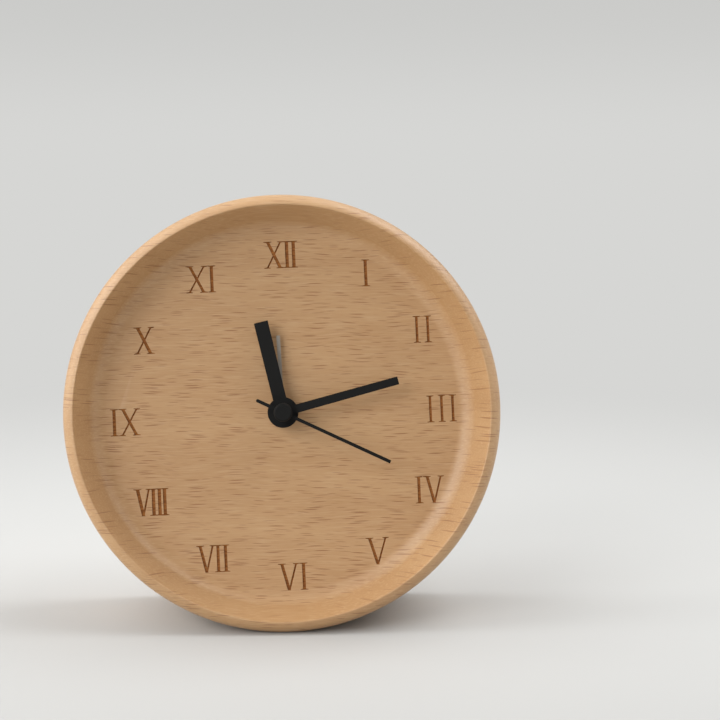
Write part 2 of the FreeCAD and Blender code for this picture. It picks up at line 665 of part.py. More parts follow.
def build_rear_shell():
    """Rear half of the movement housing: battery bay, bosses, sound slots and fixing tabs."""
    shell = SubPart("movement_rear_shell", DIAL)
    block = shell.sketch("block", f"-{SPLIT}")
    rectangle(block, f"-{HOUSING_HALF}", f"-{HOUSING_HALF}", HOUSING_HALF, HOUSING_HALF,
              "housing_corner")
    shell.pad(block, f"{HOUSING_BACK} - {SPLIT}", backwards=True)
    tray_half = f"({INNER_HALF} - nesting_gap)"
    tray = shell.sketch("tray", f"-{SPLIT}")
    rectangle(tray, f"-{tray_half}", f"-{tray_half} + nesting_gap", tray_half, CAVITY_BOTTOM)
    shell.pad(tray, f"{SPLIT} - {INNER_FRONT}")
    cavity = shell.sketch("cavity", f"-{INNER_BACK}")
    rectangle(cavity, f"-{INNER_HALF}", CAVITY_BOTTOM, INNER_HALF, INNER_HALF)
    shell.pocket(cavity, forwards=True)
    bay = shell.sketch("bay", f"-{BAY_FLOOR}")
    bay_corner = "(housing_corner - shell_wall)"
    outline(bay, [
        (f"-{INNER_HALF} + {bay_corner}", f"-{INNER_HALF}"),
        (f"{INNER_HALF} - {bay_corner}", f"-{INNER_HALF}", bay_corner),
        (INNER_HALF, f"-{INNER_HALF} + {bay_corner}"),
        (INNER_HALF, BAY_TOP),
        (f"-{INNER_HALF}", BAY_TOP),
        (f"-{INNER_HALF}", f"-{INNER_HALF} + {bay_corner}", bay_corner),
    ])
    shell.pocket(bay)
    notch_half = "(contact_width / 2 + cell_clearance)"
    notch = shell.sketch("contact_notches", f"-{CELL_DEPTH} - {notch_half}")
    notch_width = "(contact_thickness + cell_clearance)"
    notch_low = f"{BAY_TOP} - cut_allowance"
    notch_high = f"{CAVITY_BOTTOM} + cut_allowance"
    rectangle(notch, f"-{INNER_HALF}", notch_low, f"-{INNER_HALF} + {notch_width}", notch_high)
    rectangle(notch, f"{INNER_HALF} - {notch_width}", notch_low, INNER_HALF, notch_high)
    shell.pocket(notch, f"2 * {notch_half}", forwards=True)
    wheel_end = f"({layer(6)} + wheel_thickness + running_gap)"
    fifth_end = f"({layer(7)} + wheel_thickness + running_gap)"
    rotor_end = f"({MAGNET_FRONT} + magnet_length + running_gap)"
    stator_back = f"({STATOR_FRONT} + stator_thickness)"
    stator_end = value("stator_half_length - stator_leg_width / 2")
    stator_posts = [(ROTOR[0] - stator_end, ROTOR[1]), (ROTOR[0] + stator_end, ROTOR[1])]
    for purpose, places, end in (
        ("train_bosses", [(0.0, 0.0), THIRD], wheel_end),
        ("fifth_boss", [FIFTH], fifth_end),
        ("rotor_boss", [ROTOR], rotor_end),
        ("stator_posts", stator_posts, stator_back),
        ("board_posts", board_post_places(), BOARD_BACK),
    ):
        add_posts(shell, purpose, places, "boss_radius", INNER_BACK, end)
    fine = "fine_arbor_radius + bearing_gap"
    for purpose, place, radius, start in (
        ("second_bore", (0.0, 0.0), "second_arbor_radius + bearing_gap", wheel_end),
        ("third_bore", THIRD, "third_arbor_radius + bearing_gap", wheel_end),
        ("fifth_bore", FIFTH, fine, fifth_end),
        ("rotor_bore", ROTOR, fine, rotor_end),
    ):
        add_bores(shell, purpose, [place], radius, start, "pivot_depth", False)
    add_bores(shell, "knob_bores", [TIME_KNOB, ALARM_KNOB], "knob_arbor_radius + bearing_gap",
              INNER_BACK, "shell_wall", False)
    ledge = shell.sketch("buzzer_ledge", f"-{INNER_BACK}")
    circle(ledge, BUZZER_RING_RADIUS, BUZZER_X, BUZZER_Y)
    circle(ledge, "buzzer_radius - buzzer_ring_wall", BUZZER_X, BUZZER_Y)
    shell.pad(ledge, "buzzer_ledge")
    rim = shell.sketch("buzzer_rim", f"-{INNER_BACK} + buzzer_ledge")
    circle(rim, BUZZER_RING_RADIUS, BUZZER_X, BUZZER_Y)
    circle(rim, "buzzer_radius + bearing_gap", BUZZER_X, BUZZER_Y)
    shell.pad(rim, "buzzer_thickness")
    slots = shell.sketch("sound_slots", f"-{INNER_BACK}")
    for number in range(count("sound_slots")):
        shift = f"({number} - (sound_slots - 1) / 2) * sound_slot_pitch"
        rectangle(
            slots,
            f"{BUZZER_X} - sound_slot_length / 2",
            f"{BUZZER_Y} + {shift} - sound_slot_width / 2",
            f"{BUZZER_X} + sound_slot_length / 2",
            f"{BUZZER_Y} + {shift} + sound_slot_width / 2",
        )
    shell.pocket(slots, "shell_wall")
    slide = shell.sketch("switch_slot", f"-{INNER_BACK}")
    half_neck = "(switch_neck / 2 + bearing_gap)"
    rectangle(slide, f"{SWITCH_X} - {half_neck}", f"switch_y - {half_neck}",
              f"{SWITCH_X} + {half_neck}", f"switch_y + switch_travel + {half_neck}")
    shell.pocket(slide, "shell_wall")
    tabs = shell.sketch("tabs", f"-{LEDGE}")
    low = "tab_height - tab_width / 2"
    high = "tab_height + tab_width / 2"
    reach = f"({HOUSING_HALF} + tab_length)"
    root = f"({HOUSING_HALF} - tab_root_overlap)"
    rectangle(tabs, root, low, reach, high)
    rectangle(tabs, f"-{reach}", low, f"-{root}", high)
    shell.pad(tabs, "tab_thickness", backwards=True)
    holes = shell.sketch("tab_holes", f"-{LEDGE}")
    for side in ("-", ""):
        circle(holes, "screw_radius + screw_clearance", f"{side}{SCREW_X}", "tab_height")
    shell.pocket(holes)
    return shell.body


def build_screws():
    """Two pan-head wood screws that hold the housing tabs to the case."""
    head_back = f"{HOUSING_BACK} + screw_head_height"
    screws = []
    for side in (-1, 1):
        x = side * value(SCREW_X)
        y = value("tab_height")
        shank = rod("screw_radius", f"{HOUSING_BACK} - screw_length", HOUSING_BACK, x, y)
        head = rod("screw_head_radius", HOUSING_BACK, head_back, x, y)
        screw = shank.fuse(head)
        span = value("screw_cross_span")
        width = value("screw_cross_width")
        depth = value("screw_cross_depth")
        low = -value(head_back)
        for long_x, long_y in ((span, width), (width, span)):
            corner = Vector(x - long_x / 2, y - long_y / 2, low)
            screw = screw.cut(Part.makeBox(long_x, long_y, depth, corner))
        screws.append(screw.removeSplitter())
    coded_part("housing_screws", Part.makeCompound(screws), DIAL)


def build_wheels():
    """Every toothed wheel, each in mesh with its mate at rest."""
    second_share = f"{THIRD_DISTANCE} / (second_pinion_teeth + third_wheel_teeth)"
    second_pitch = value(f"{second_share} * second_pinion_teeth")
    third_pitch = value(f"{second_share} * third_wheel_teeth")
    centre_share = f"{THIRD_DISTANCE} / (third_pinion_teeth + centre_wheel_teeth)"
    third_pinion_pitch = value(f"{centre_share} * third_pinion_teeth")
    centre_pitch = value(f"{centre_share} * centre_wheel_teeth")
    fifth_share = f"{FIFTH_DISTANCE} / (fifth_pinion_teeth + second_wheel_teeth)"
    fifth_pinion_pitch = value(f"{fifth_share} * fifth_pinion_teeth")
    second_wheel_pitch = value(f"{fifth_share} * second_wheel_teeth")
    rotor_share = f"{ROTOR_DISTANCE} / (rotor_pinion_teeth + fifth_wheel_teeth)"
    rotor_pitch = value(f"{rotor_share} * rotor_pinion_teeth")
    fifth_pitch = value(f"{rotor_share} * fifth_wheel_teeth")
    motion_share = f"{MOTION_DISTANCE} / (cannon_teeth + motion_wheel_teeth)"
    cannon_pitch = value(f"{motion_share} * cannon_teeth")
    motion_pitch = value(f"{motion_share} * motion_wheel_teeth")
    time_pitch = value(f"{motion_share} * time_pinion_teeth")
    hour_share = f"{MOTION_DISTANCE} / (motion_pinion_teeth + hour_wheel_teeth)"
    motion_pinion_pitch = value(f"{hour_share} * motion_pinion_teeth")
    hour_pitch = value(f"{hour_share} * hour_wheel_teeth")
    alarm_share = f"{ALARM_DISTANCE} / (alarm_wheel_teeth + alarm_gear_teeth)"
    alarm_pitch = value(f"{alarm_share} * alarm_wheel_teeth")
    alarm_gear_pitch = value(f"{alarm_share} * alarm_gear_teeth")

    pivot_end = f"({layer(6)} + wheel_thickness + running_gap + pivot_depth)"
    fifth_pivot_end = f"({layer(7)} + wheel_thickness + running_gap + pivot_depth)"
    rotor_pivot_end = f"({MAGNET_FRONT} + magnet_length + running_gap + pivot_depth)"

    # Seconds wheel and pinion on the long arbor that carries the second hand
    second_top = f"-({SECOND_SEAT} + second_thickness + second_cap_height - second_cap_edge)"
    seconds = rod("second_arbor_radius", second_top, pivot_end)
    seconds = seconds.multiFuse([
        toothed_disc(count("second_wheel_teeth"), second_wheel_pitch, 0, layer(6)),
        toothed_disc(count("second_pinion_teeth"), second_pitch, 0, layer(5)),
        rod("collar_radius", f"{layer(5)} + wheel_thickness", layer(6)),
    ])
    coded_part("seconds_wheel", seconds, DIAL)

    # Third wheel, driven by the seconds pinion, with the pinion that drives the centre wheel
    third_phase = mating_phase(
        value("third_line_angle"), count("second_pinion_teeth"), 0, count("third_wheel_teeth"))
    third = rod("third_arbor_radius", f"{INNER_FRONT} - pivot_depth", pivot_end)
    third = third.multiFuse([
        toothed_disc(count("third_wheel_teeth"), third_pitch, third_phase, layer(5)),
        toothed_disc(count("third_pinion_teeth"), third_pinion_pitch, 0, layer(4)),
        rod("collar_radius", f"{layer(4)} + wheel_thickness", layer(5)),
    ])
    coded_part("third_wheel", third, on_dial(*THIRD))

    # Centre wheel, which grips the minute tube like a slipping clutch
    centre_phase = mating_phase(
        value("third_line_angle") + 180, count("third_pinion_teeth"), 0, count("centre_wheel_teeth"))
    centre = toothed_disc(count("centre_wheel_teeth"), centre_pitch, centre_phase, layer(4))
    clutch_bore = rod("minute_tube_radius + clutch_gap", layer(4), f"{layer(4)} + wheel_thickness")
    coded_part("centre_wheel", centre.cut(clutch_bore), DIAL)

    # Fifth wheel, between the rotor and the seconds wheel
    fifth_pinion_phase = mating_phase(
        value("fifth_line_angle"), count("second_wheel_teeth"), 0, count("fifth_pinion_teeth"))
    fifth = rod("fine_arbor_radius", f"{layer(6)} - running_gap - pivot_depth", fifth_pivot_end)
    fifth = fifth.multiFuse([
        toothed_disc(count("fifth_pinion_teeth"), fifth_pinion_pitch, fifth_pinion_phase, layer(6)),
        toothed_disc(count("fifth_wheel_teeth"), fifth_pitch, 0, layer(7)),
        rod("collar_radius", f"{layer(6)} + wheel_thickness", layer(7)),
    ])
    coded_part("fifth_wheel", fifth, on_dial(*FIFTH))

    # Rotor pinion on its arbor, and the magnet pressed on behind it
    rotor_phase = mating_phase(
        value("rotor_line_angle"), count("fifth_wheel_teeth"), 0, count("rotor_pinion_teeth"))
    rotor = rod("fine_arbor_radius", f"{layer(7)} - running_gap - pivot_depth", rotor_pivot_end)
    rotor = rotor.fuse(toothed_disc(count("rotor_pinion_teeth"), rotor_pitch, rotor_phase, layer(7)))
    coded_part("rotor_pinion", rotor, on_dial(*ROTOR))
    magnet = rod("magnet_radius", MAGNET_FRONT, f"{MAGNET_FRONT} + magnet_length")
    magnet = magnet.cut(rod("fine_arbor_radius", MAGNET_FRONT, f"{MAGNET_FRONT} + magnet_length"))
    coded_part("rotor_magnet", magnet, on_dial(*ROTOR))

    # Minute tube with the cannon pinion
    minute_top = f"-({MINUTE_SEAT} + hand_boss_height)"
    minute_end = f"{layer(4)} + wheel_thickness"
    cannon = rod("minute_tube_radius", minute_top, minute_end).fuse(
        toothed_disc(count("cannon_teeth"), cannon_pitch, 0, layer(3)))
    cannon = cannon.cut(rod("second_arbor_radius + bearing_gap", minute_top, minute_end))
    coded_part("cannon_pinion", cannon, DIAL)

    # Motion wheel on its fixed post
    motion_phase = mating_phase(
        value("motion_line_angle"), count("cannon_teeth"), 0, count("motion_wheel_teeth"))
    motion_end = f"{layer(3)} + wheel_thickness"
    motion = toothed_disc(count("motion_wheel_teeth"), motion_pitch, motion_phase, layer(3))
    motion = motion.multiFuse([
        toothed_disc(count("motion_pinion_teeth"), motion_pinion_pitch, 0, layer(2)),
        rod("motion_post_radius + motion_collar_wall", f"{layer(2)} + wheel_thickness", layer(3)),
    ])
    motion = motion.cut(rod("motion_post_radius + bearing_gap", layer(2), motion_end))
    coded_part("motion_wheel", motion, on_dial(*MOTION))

    # Hour wheel with its tube round the minute tube
    hour_phase = mating_phase(
        value("motion_line_angle") + 180, count("motion_pinion_teeth"), 0, count("hour_wheel_teeth"))
    hour_top = f"-({HOUR_SEAT} + hand_boss_height)"
    hour_end = f"{layer(2)} + wheel_thickness"
    hour = rod("hour_tube_radius", hour_top, hour_end).fuse(
        toothed_disc(count("hour_wheel_teeth"), hour_pitch, hour_phase, layer(2)))
    hour = hour.cut(rod("minute_tube_radius + bearing_gap", hour_top, hour_end))
    coded_part("hour_wheel", hour, DIAL)

    # Alarm wheel with its tube round the hour tube
    alarm_top = f"-({ALARM_SEAT} + hand_boss_height)"
    alarm_end = f"{layer(1)} + wheel_thickness"
    alarm = rod("alarm_tube_radius", alarm_top, alarm_end).fuse(
        toothed_disc(count("alarm_wheel_teeth"), alarm_pitch, 0, layer(1)))
    alarm = alarm.cut(rod("hour_tube_radius + bearing_gap", alarm_top, alarm_end))
    coded_part("alarm_wheel", alarm, DIAL)

    # Pinion and gear on the two setting arbors
    time_phase = mating_phase(
        value("time_line_angle"), count("motion_wheel_teeth"), motion_phase, count("time_pinion_teeth"))
    time_gear = toothed_disc(count("time_pinion_teeth"), time_pitch, time_phase, layer(3))
    time_gear = time_gear.cut(rod("knob_arbor_radius", layer(3), motion_end))
    coded_part("time_set_pinion", time_gear, on_dial(*TIME_KNOB))
    gear_phase = mating_phase(
        value("alarm_line_angle"), count("alarm_wheel_teeth"), 0, count("alarm_gear_teeth"))
    alarm_gear = toothed_disc(count("alarm_gear_teeth"), alarm_gear_pitch, gear_phase, layer(1))
    alarm_gear = alarm_gear.cut(rod("knob_arbor_radius", layer(1), alarm_end))
    coded_part("alarm_set_gear", alarm_gear, on_dial(*ALARM_KNOB))


def build_motor():
    """Stator, coil core, bobbin and winding of the stepping motor."""
    coil_y = value(COIL_DISTANCE)
    stator = SubPart("stator", on_dial(*ROTOR))
    bar = stator.sketch("bar", f"-{STATOR_FRONT}")
    rectangle(bar, "-stator_half_length", "-stator_bar_width / 2", "stator_half_length",
              "stator_bar_width / 2")
    stator.pad(bar, "stator_thickness", backwards=True)
    legs = stator.sketch("legs", f"-{STATOR_FRONT}")
    leg_top = f"{COIL_DISTANCE} + coil_core_width / 2"
    rectangle(legs, "-stator_half_length", "0", "-stator_half_length + stator_leg_width", leg_top)
    rectangle(legs, "stator_half_length - stator_leg_width", "0", "stator_half_length", leg_top)
    stator.pad(legs, "stator_thickness", backwards=True)
    eye = stator.sketch("eye", f"-{STATOR_FRONT}")
    circle(eye, "magnet_radius + stator_gap + stator_rim")
    stator.pad(eye, "stator_thickness", backwards=True)
    bore = stator.sketch("bore", f"-{STATOR_FRONT}")
    circle(bore, "magnet_radius + stator_gap")
    stator.pocket(bore)

    core = doc.addObject("Part::Box", "coil_core")
    core.Label = "coil_core"
    core.setExpression("Length", expression("2 * stator_half_length"))
    core.setExpression("Width", expression("coil_core_width"))
    core.setExpression("Height", expression("stator_thickness"))
    core.Placement = on_dial(
        ROTOR[0] - value("stator_half_length"),
        ROTOR[1] + coil_y - value("coil_core_width / 2"),
        -value(STATOR_FRONT),
    )

    axis_depth = value(f"{STATOR_FRONT} - stator_thickness / 2")
    along = Placement(Vector(ROTOR[0], ROTOR[1] + coil_y, -axis_depth), Rotation(Vector(0, 1, 0), 90))
    place = DIAL.multiply(along)
    bobbin = SubPart("coil_bobbin", place)
    tube = bobbin.sketch("tube", "-coil_length / 2")
    circle(tube, "bobbin_radius")
    bobbin.pad(tube, "coil_length")
    flanges = bobbin.sketch("flange", "-coil_length / 2")
    circle(flanges, "bobbin_flange_radius")
    bobbin.pad(flanges, "bobbin_flange_thickness")
    far_flange = bobbin.sketch("flange", "coil_length / 2")
    circle(far_flange, "bobbin_flange_radius")
    bobbin.pad(far_flange, "bobbin_flange_thickness", backwards=True)
    slot = bobbin.sketch("slot", "coil_length / 2")
    rectangle(slot, "-stator_thickness / 2", "-coil_core_width / 2", "stator_thickness / 2",
              "coil_core_width / 2")
    bobbin.pocket(slot)

    winding = SubPart("coil_winding", place)
    start = "-coil_length / 2 + bobbin_flange_thickness"
    ring = winding.sketch("ring", start)
    circle(ring, "coil_radius")
    circle(ring, "bobbin_radius")
    winding.pad(ring, "coil_length - 2 * bobbin_flange_thickness")


def box_part(label, length, width, height, placement):
    """Add a plain rectangular sub-part with its three sides held by formulas."""
    block = doc.addObject("Part::Box", label)
    block.Label = label
    block.setExpression("Length", expression(length))
    block.setExpression("Width", expression(width))
    block.setExpression("Height", expression(height))
    block.Placement = placement
    return block


def build_circuit():
    """Circuit board with its quartz crystal and driver chip."""
    board = SubPart("circuit_board", DIAL)
    face = board.sketch("face", f"-{BOARD_FRONT}")
    rectangle(face, BOARD_LEFT, "board_bottom", BOARD_RIGHT, BOARD_TOP)
    board.pad(face, "board_thickness", backwards=True)
    crystal = doc.addObject("Part::Cylinder", "quartz_crystal")
    crystal.Label = "quartz_crystal"
    crystal.setExpression("Radius", expression("crystal_radius"))
    crystal.setExpression("Height", expression("crystal_length"))
    lying = Placement(
        Vector(
            value(f"{BOARD_LEFT} + crystal_inset_x"),
            value("board_bottom + crystal_inset_y"),
            -value(f"{BOARD_BACK} + crystal_radius"),
        ),
        Rotation(Vector(0, 1, 0), 90),
    )
    crystal.Placement = DIAL.multiply(lying)
    box_part("driver_chip", "chip_side", "chip_side", "chip_height", on_dial(
        value(f"{BOARD_LEFT} + chip_inset_x"),
        value("board_bottom + chip_inset_y"),
        -value(f"{BOARD_BACK} + chip_height"),
    ))


def build_alarm():
    """Sounder disc, and the leaf that closes the alarm contact against the hour wheel."""
    sounder = doc.addObject("Part::Cylinder", "buzzer_disc")
    sounder.Label = "buzzer_disc"
    sounder.setExpression("Radius", expression("buzzer_radius"))
    sounder.setExpression("Height", expression("buzzer_thickness"))
    sounder.Placement = on_dial(
        value(BUZZER_X), value(BUZZER_Y), -value(f"{INNER_BACK} - buzzer_ledge"))

    leaf = SubPart("alarm_contact_leaf", DIAL)
    front = f"-({layer(2)} + wheel_thickness + 0.25 * layer_gap)"
    strip = leaf.sketch("strip", "-leaf_height", plane="XZ_Plane")
    root = f"({BOARD_LEFT} + leaf_root_inset)"
    outline(strip, [
        ("leaf_tip", f"{front} - leaf_thickness"),
        (f"{root} - leaf_thickness", f"{front} - leaf_thickness"),
        (f"{root} - leaf_thickness", f"-{BOARD_FRONT}"),
        (root, f"-{BOARD_FRONT}"),
        (root, front),
        ("leaf_tip", front),
    ])
    leaf.pad(strip, "leaf_width", both_ways=True)


def build_battery():
    """Size AA cell, its two contacts and the lead from the left contact to the board."""
    cell_place = DIAL.multiply(Placement(
        Vector(value(f"contact_thickness - {INNER_HALF}"), value(CELL_Y), -value(CELL_DEPTH)),
        Rotation(Vector(0, 1, 0), 90),
    ))
    cell = SubPart("battery_cell", cell_place)
    profile = cell.sketch("profile", plane="XZ_Plane")
    outline(profile, [
        ("0", "contact_gap"),
        ("cell_nub_radius", "contact_gap"),
        ("cell_nub_radius", "cell_nub_length"),
        ("cell_radius - cell_shoulder", "cell_nub_length"),
        ("cell_radius", "cell_nub_length + cell_shoulder"),
        ("cell_radius", "cell_length - cell_edge"),
        ("cell_radius - cell_edge", "cell_length"),
        ("0", "cell_length"),
    ])
    cell.revolve(profile)

    low = f"(2 * cell_clearance + contact_floor_gap - {INNER_HALF})"
    high = f"({CAVITY_BOTTOM} + contact_left_rise)"
    box_part("battery_contact_left", "contact_thickness", f"{high} - {low}", "contact_width", on_dial(
        -value(INNER_HALF), value(low), -value(f"{CELL_DEPTH} + contact_width / 2")))

    contact = SubPart("battery_contact_right", DIAL)
    spring = contact.sketch("strip", f"-{CELL_DEPTH}")
    wall = f"({INNER_HALF} - contact_thickness)"
    touch = f"(contact_thickness + cell_length + contact_gap - {INNER_HALF})"
    inside = f"({touch} + spring_thickness)"
    board_reach = "(board_bottom + contact_right_lap)"
    bend = f"({BAY_TOP} - spring_bend_drop)"
    foot = f"({CELL_Y} - spring_foot_drop)"
    outline(spring, [
        (wall, low),
        (INNER_HALF, low),
        (INNER_HALF, board_reach),
        (wall, board_reach),
        (wall, bend),
        (touch, f"{CELL_Y} + spring_crown_half"),
        (touch, f"{CELL_Y} - spring_crown_half"),
        (f"{wall} - 2 * spring_thickness", foot),
        (f"{wall} - spring_thickness", foot),
        (inside, f"{CELL_Y} - spring_crown_half - spring_crown_shift"),
        (inside, f"{CELL_Y} + spring_crown_half - spring_crown_shift"),
        (wall, f"{bend} - spring_slant_room"),
    ])
    contact.pad(spring, "contact_width", both_ways=True)

    mid_depth = value(f"({BOARD_FRONT} + {BOARD_BACK}) / 2")
    run_y = value(f"{CAVITY_BOTTOM} + lead_radius + running_gap")
    bend = value("lead_bend")
    turn_x = value(f"{BOARD_LEFT} + lead_inset")
    start = Vector(value(f"contact_thickness - {INNER_HALF}"), run_y, -mid_depth)
    corner_in = Vector(turn_x - bend, run_y, -mid_depth)
    corner_mid = Vector(turn_x - bend + bend * math.sin(math.pi / 4),
                        run_y + bend - bend * math.cos(math.pi / 4), -mid_depth)
    corner_out = Vector(turn_x, run_y + bend, -mid_depth)
    end = Vector(turn_x, value("board_bottom"), -mid_depth)
    path = Part.Wire([
        Part.LineSegment(start, corner_in).toShape(),
        Part.Arc(corner_in, corner_mid, corner_out).toShape(),
        Part.LineSegment(corner_out, end).toShape(),
    ])
    section = Part.Wire(Part.makeCircle(value("lead_radius"), start, Vector(1, 0, 0)))
    coded_part("battery_lead", path.makePipeShell([section], True, False), DIAL)


def build_knobs():
    """Two fluted setting knobs, each with the arbor that carries its gear."""
    for label, place in (("time_set_knob", TIME_KNOB), ("alarm_set_knob", ALARM_KNOB)):
        knob = SubPart(label, on_dial(*place))
        disc = knob.sketch("disc", f"-{HOUSING_BACK} - knob_gap")
        circle(disc, "knob_radius")
        knob.pad(disc, "knob_height", backwards=True)
        flute = knob.sketch("flute", f"-{HOUSING_BACK} - knob_gap")
        circle(flute, "knob_flute_radius", "knob_radius + knob_flute_standoff")
        knob.ring(knob.pocket(flute), "knob_flutes")
        arbor = knob.sketch("arbor", f"-{HOUSING_BACK} - knob_gap")
        circle(arbor, "knob_arbor_radius")
        knob.pad(arbor, f"{HOUSING_BACK} + knob_gap - ({INNER_FRONT} - pivot_depth)")


def build_switch():
    """Slide switch for the alarm: outer knob, neck through the slot and inner plate."""
    switch = SubPart("alarm_switch", on_dial(value(SWITCH_X), value("switch_y")))
    neck = switch.sketch("neck", f"-{INNER_BACK} + switch_gap")
    rectangle(neck, "-switch_neck / 2", "-switch_neck / 2", "switch_neck / 2", "switch_neck / 2")
    switch.pad(neck, "shell_wall + 2 * switch_gap", backwards=True)
    plate = switch.sketch("plate", f"-{INNER_BACK} + switch_gap")
    rectangle(plate, "-switch_plate_width / 2", "-switch_plate_length / 2", "switch_plate_width / 2",
              "switch_plate_length / 2")
    switch.pad(plate, "switch_plate_thickness")
    knob = switch.sketch("knob", f"-{HOUSING_BACK} - switch_gap")
    rectangle(knob, "-switch_knob_width / 2", "-switch_knob_length / 2", "switch_knob_width / 2",
              "switch_knob_length / 2")
    switch.pad(knob, "switch_knob_height", backwards=True)


# Heights of the hand bosses above the dial floor, as formulas

ALARM_SEAT = "(bush_rise + alarm_hand_rise)"
HOUR_SEAT = f"({ALARM_SEAT} + hand_boss_height + hand_spacing)"
MINUTE_SEAT = f"({HOUR_SEAT} + hand_boss_height + hand_spacing)"
SECOND_SEAT = f"({MINUTE_SEAT} + hand_boss_height + hand_spacing)"


def hand_placement(angle):
    """Return the placement of a hand that shows an angle clockwise from twelve."""
    return on_dial(turn=value(f"dial_roll - {angle}"))


def build_bar_hand(label, angle, seat, length, root_width, tip_width, boss_radius, tube_radius):
    """Flat bar hand with a square end on a round boss, pushed on its tube."""
    hand = SubPart(label, hand_placement(angle))
    blade = hand.sketch("blade", f"{seat} + blade_drop")
    outline(blade, [
        (f"-{root_width} / 2", "0"),
        (f"{root_width} / 2", "0"),
        (f"{tip_width} / 2", length),
        (f"-{tip_width} / 2", length),
    ])
    hand.pad(blade, "hand_thickness")
    boss = hand.sketch("boss", seat)
    circle(boss, boss_radius)
    hand.pad(boss, "hand_boss_height")
    bore = hand.sketch("bore", f"{seat} + hand_boss_height")
    circle(bore, tube_radius)
    hand.pocket(bore)


def build_second_hand():
    """Needle with a round-ended tail, and the round cap that hides the end of the arbor."""
    hand = SubPart("second_hand", hand_placement("second_hand_angle"))
    blade = hand.sketch("blade", SECOND_SEAT)
    rectangle(blade, "-second_width / 2", "-second_tail + second_width / 2", "second_width / 2",
              "second_length")
    hand.pad(blade, "second_thickness")
    for purpose, radius, y in (
        ("disc", "second_disc_radius", "0"),
        ("tail", "second_width / 2", "-second_tail + second_width / 2"),
    ):
        round_end = hand.sketch(purpose, SECOND_SEAT)
        circle(round_end, radius, "0", y)
        hand.pad(round_end, "second_thickness")
    bore = hand.sketch("bore", f"{SECOND_SEAT} + second_thickness")
    circle(bore, "second_arbor_radius")
    hand.pocket(bore)

    cap = SubPart("second_hand_cap", DIAL)
    base = f"{SECOND_SEAT} + second_thickness"
    profile = cap.sketch("profile", plane="XZ_Plane")
    outline(profile, [
        ("second_arbor_radius", base),
        ("second_cap_radius", base),
        ("second_cap_radius", f"{base} + second_cap_height - second_cap_edge", "second_cap_edge"),
        ("second_cap_radius - second_cap_edge", f"{base} + second_cap_height"),
        ("0", f"{base} + second_cap_height"),
        ("0", f"{base} + second_cap_height - second_cap_edge"),
        ("second_arbor_radius", f"{base} + second_cap_height - second_cap_edge"),
    ])
    cap.revolve(profile)


def build_hands():
    """The four hands on their coaxial tubes."""
    build_bar_hand("alarm_hand", "alarm_hand_angle", ALARM_SEAT, "alarm_length", "alarm_width",
                   "alarm_width", "alarm_boss_radius", "alarm_tube_radius")
    build_bar_hand("hour_hand", "hour_hand_angle", HOUR_SEAT, "hour_length", "hour_root_width",
                   "hour_tip_width", "hour_boss_radius", "hour_tube_radius")
    build_bar_hand("minute_hand", "minute_hand_angle", MINUTE_SEAT, "minute_length",
                   "minute_root_width", "minute_tip_width", "minute_boss_radius",
                   "minute_tube_radius")
    build_second_hand()


def is_sub_part(item):
    """Tell a finished sub-part from the sheet, the sketches and the features."""
    if item.TypeId == "PartDesign::Body":
        return True
    return item.TypeId in ("Part::Feature", "Part::Box", "Part::Cylinder")


def main():
    """Build every sub-part, check it and write one file for each."""
    build_case()
    build_front_shell()
    build_rear_shell()
    build_screws()
    build_wheels()
    build_motor()
    build_circuit()
    build_alarm()
    build_battery()
    build_knobs()
    build_switch()
    build_hands()
    doc.recompute()
    for item in doc.Objects:
        if "Invalid" in item.State or "Error" in item.State:
            raise RuntimeError(f"{item.Label} did not compute: {item.State}")
    sub_parts = [item for item in doc.Objects if is_sub_part(item)]
    for item in sub_parts:
        if item.Shape.isNull() or not item.Shape.isValid() or not item.Shape.Solids:
            raise RuntimeError(f"{item.Label} has no sound solid")
    os.makedirs("parts", exist_ok=True)
    for item in sub_parts:
        item.Shape.exportStep(f"parts/{item.Label}.step")
        box = item.Shape.BoundBox
        print(f"{item.Label}: {len(item.Shape.Solids)} solid, volume {item.Shape.Volume:.1f}, "
              f"x {box.XMin:.2f} to {box.XMax:.2f}, y {box.YMin:.2f} to {box.YMax:.2f}, "
              f"z {box.ZMin:.2f} to {box.ZMax:.2f}")


main()
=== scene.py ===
"""Looks of a round desk alarm clock: a turned beech block with a dished dial and burnt numerals.

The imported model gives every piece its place. This script turns the case again as a fine mesh with
the numerals cut into it, finishes every other piece, and sets the table, the lamps and the camera.
Object sizes are millimetres in the class fields and metres in the scene. The dial frame has its
origin at the middle of the dial floor: x to the right, y up the dial and z out of the dial.
"""

import enum
import json
import logging
import math
from dataclasses import dataclass, field

import bmesh
import bpy
from mathutils import Euler, Matrix, Vector


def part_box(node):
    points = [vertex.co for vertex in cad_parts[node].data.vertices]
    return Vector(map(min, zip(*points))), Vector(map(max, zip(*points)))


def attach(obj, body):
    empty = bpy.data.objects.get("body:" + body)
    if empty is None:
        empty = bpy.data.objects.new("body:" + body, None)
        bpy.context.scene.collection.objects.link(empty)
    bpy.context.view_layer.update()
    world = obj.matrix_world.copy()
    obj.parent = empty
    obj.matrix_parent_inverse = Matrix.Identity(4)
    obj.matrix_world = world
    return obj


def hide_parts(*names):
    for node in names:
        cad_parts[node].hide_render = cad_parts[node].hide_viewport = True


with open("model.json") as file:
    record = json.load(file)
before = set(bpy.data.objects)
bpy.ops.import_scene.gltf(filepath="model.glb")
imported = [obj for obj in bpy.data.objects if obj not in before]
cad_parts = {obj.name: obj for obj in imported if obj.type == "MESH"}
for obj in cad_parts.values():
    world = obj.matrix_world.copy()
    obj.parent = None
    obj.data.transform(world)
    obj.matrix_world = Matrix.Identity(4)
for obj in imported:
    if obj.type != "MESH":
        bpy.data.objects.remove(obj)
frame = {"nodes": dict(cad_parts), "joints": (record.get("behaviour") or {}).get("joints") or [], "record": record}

log = logging.getLogger("desk_alarm_clock")

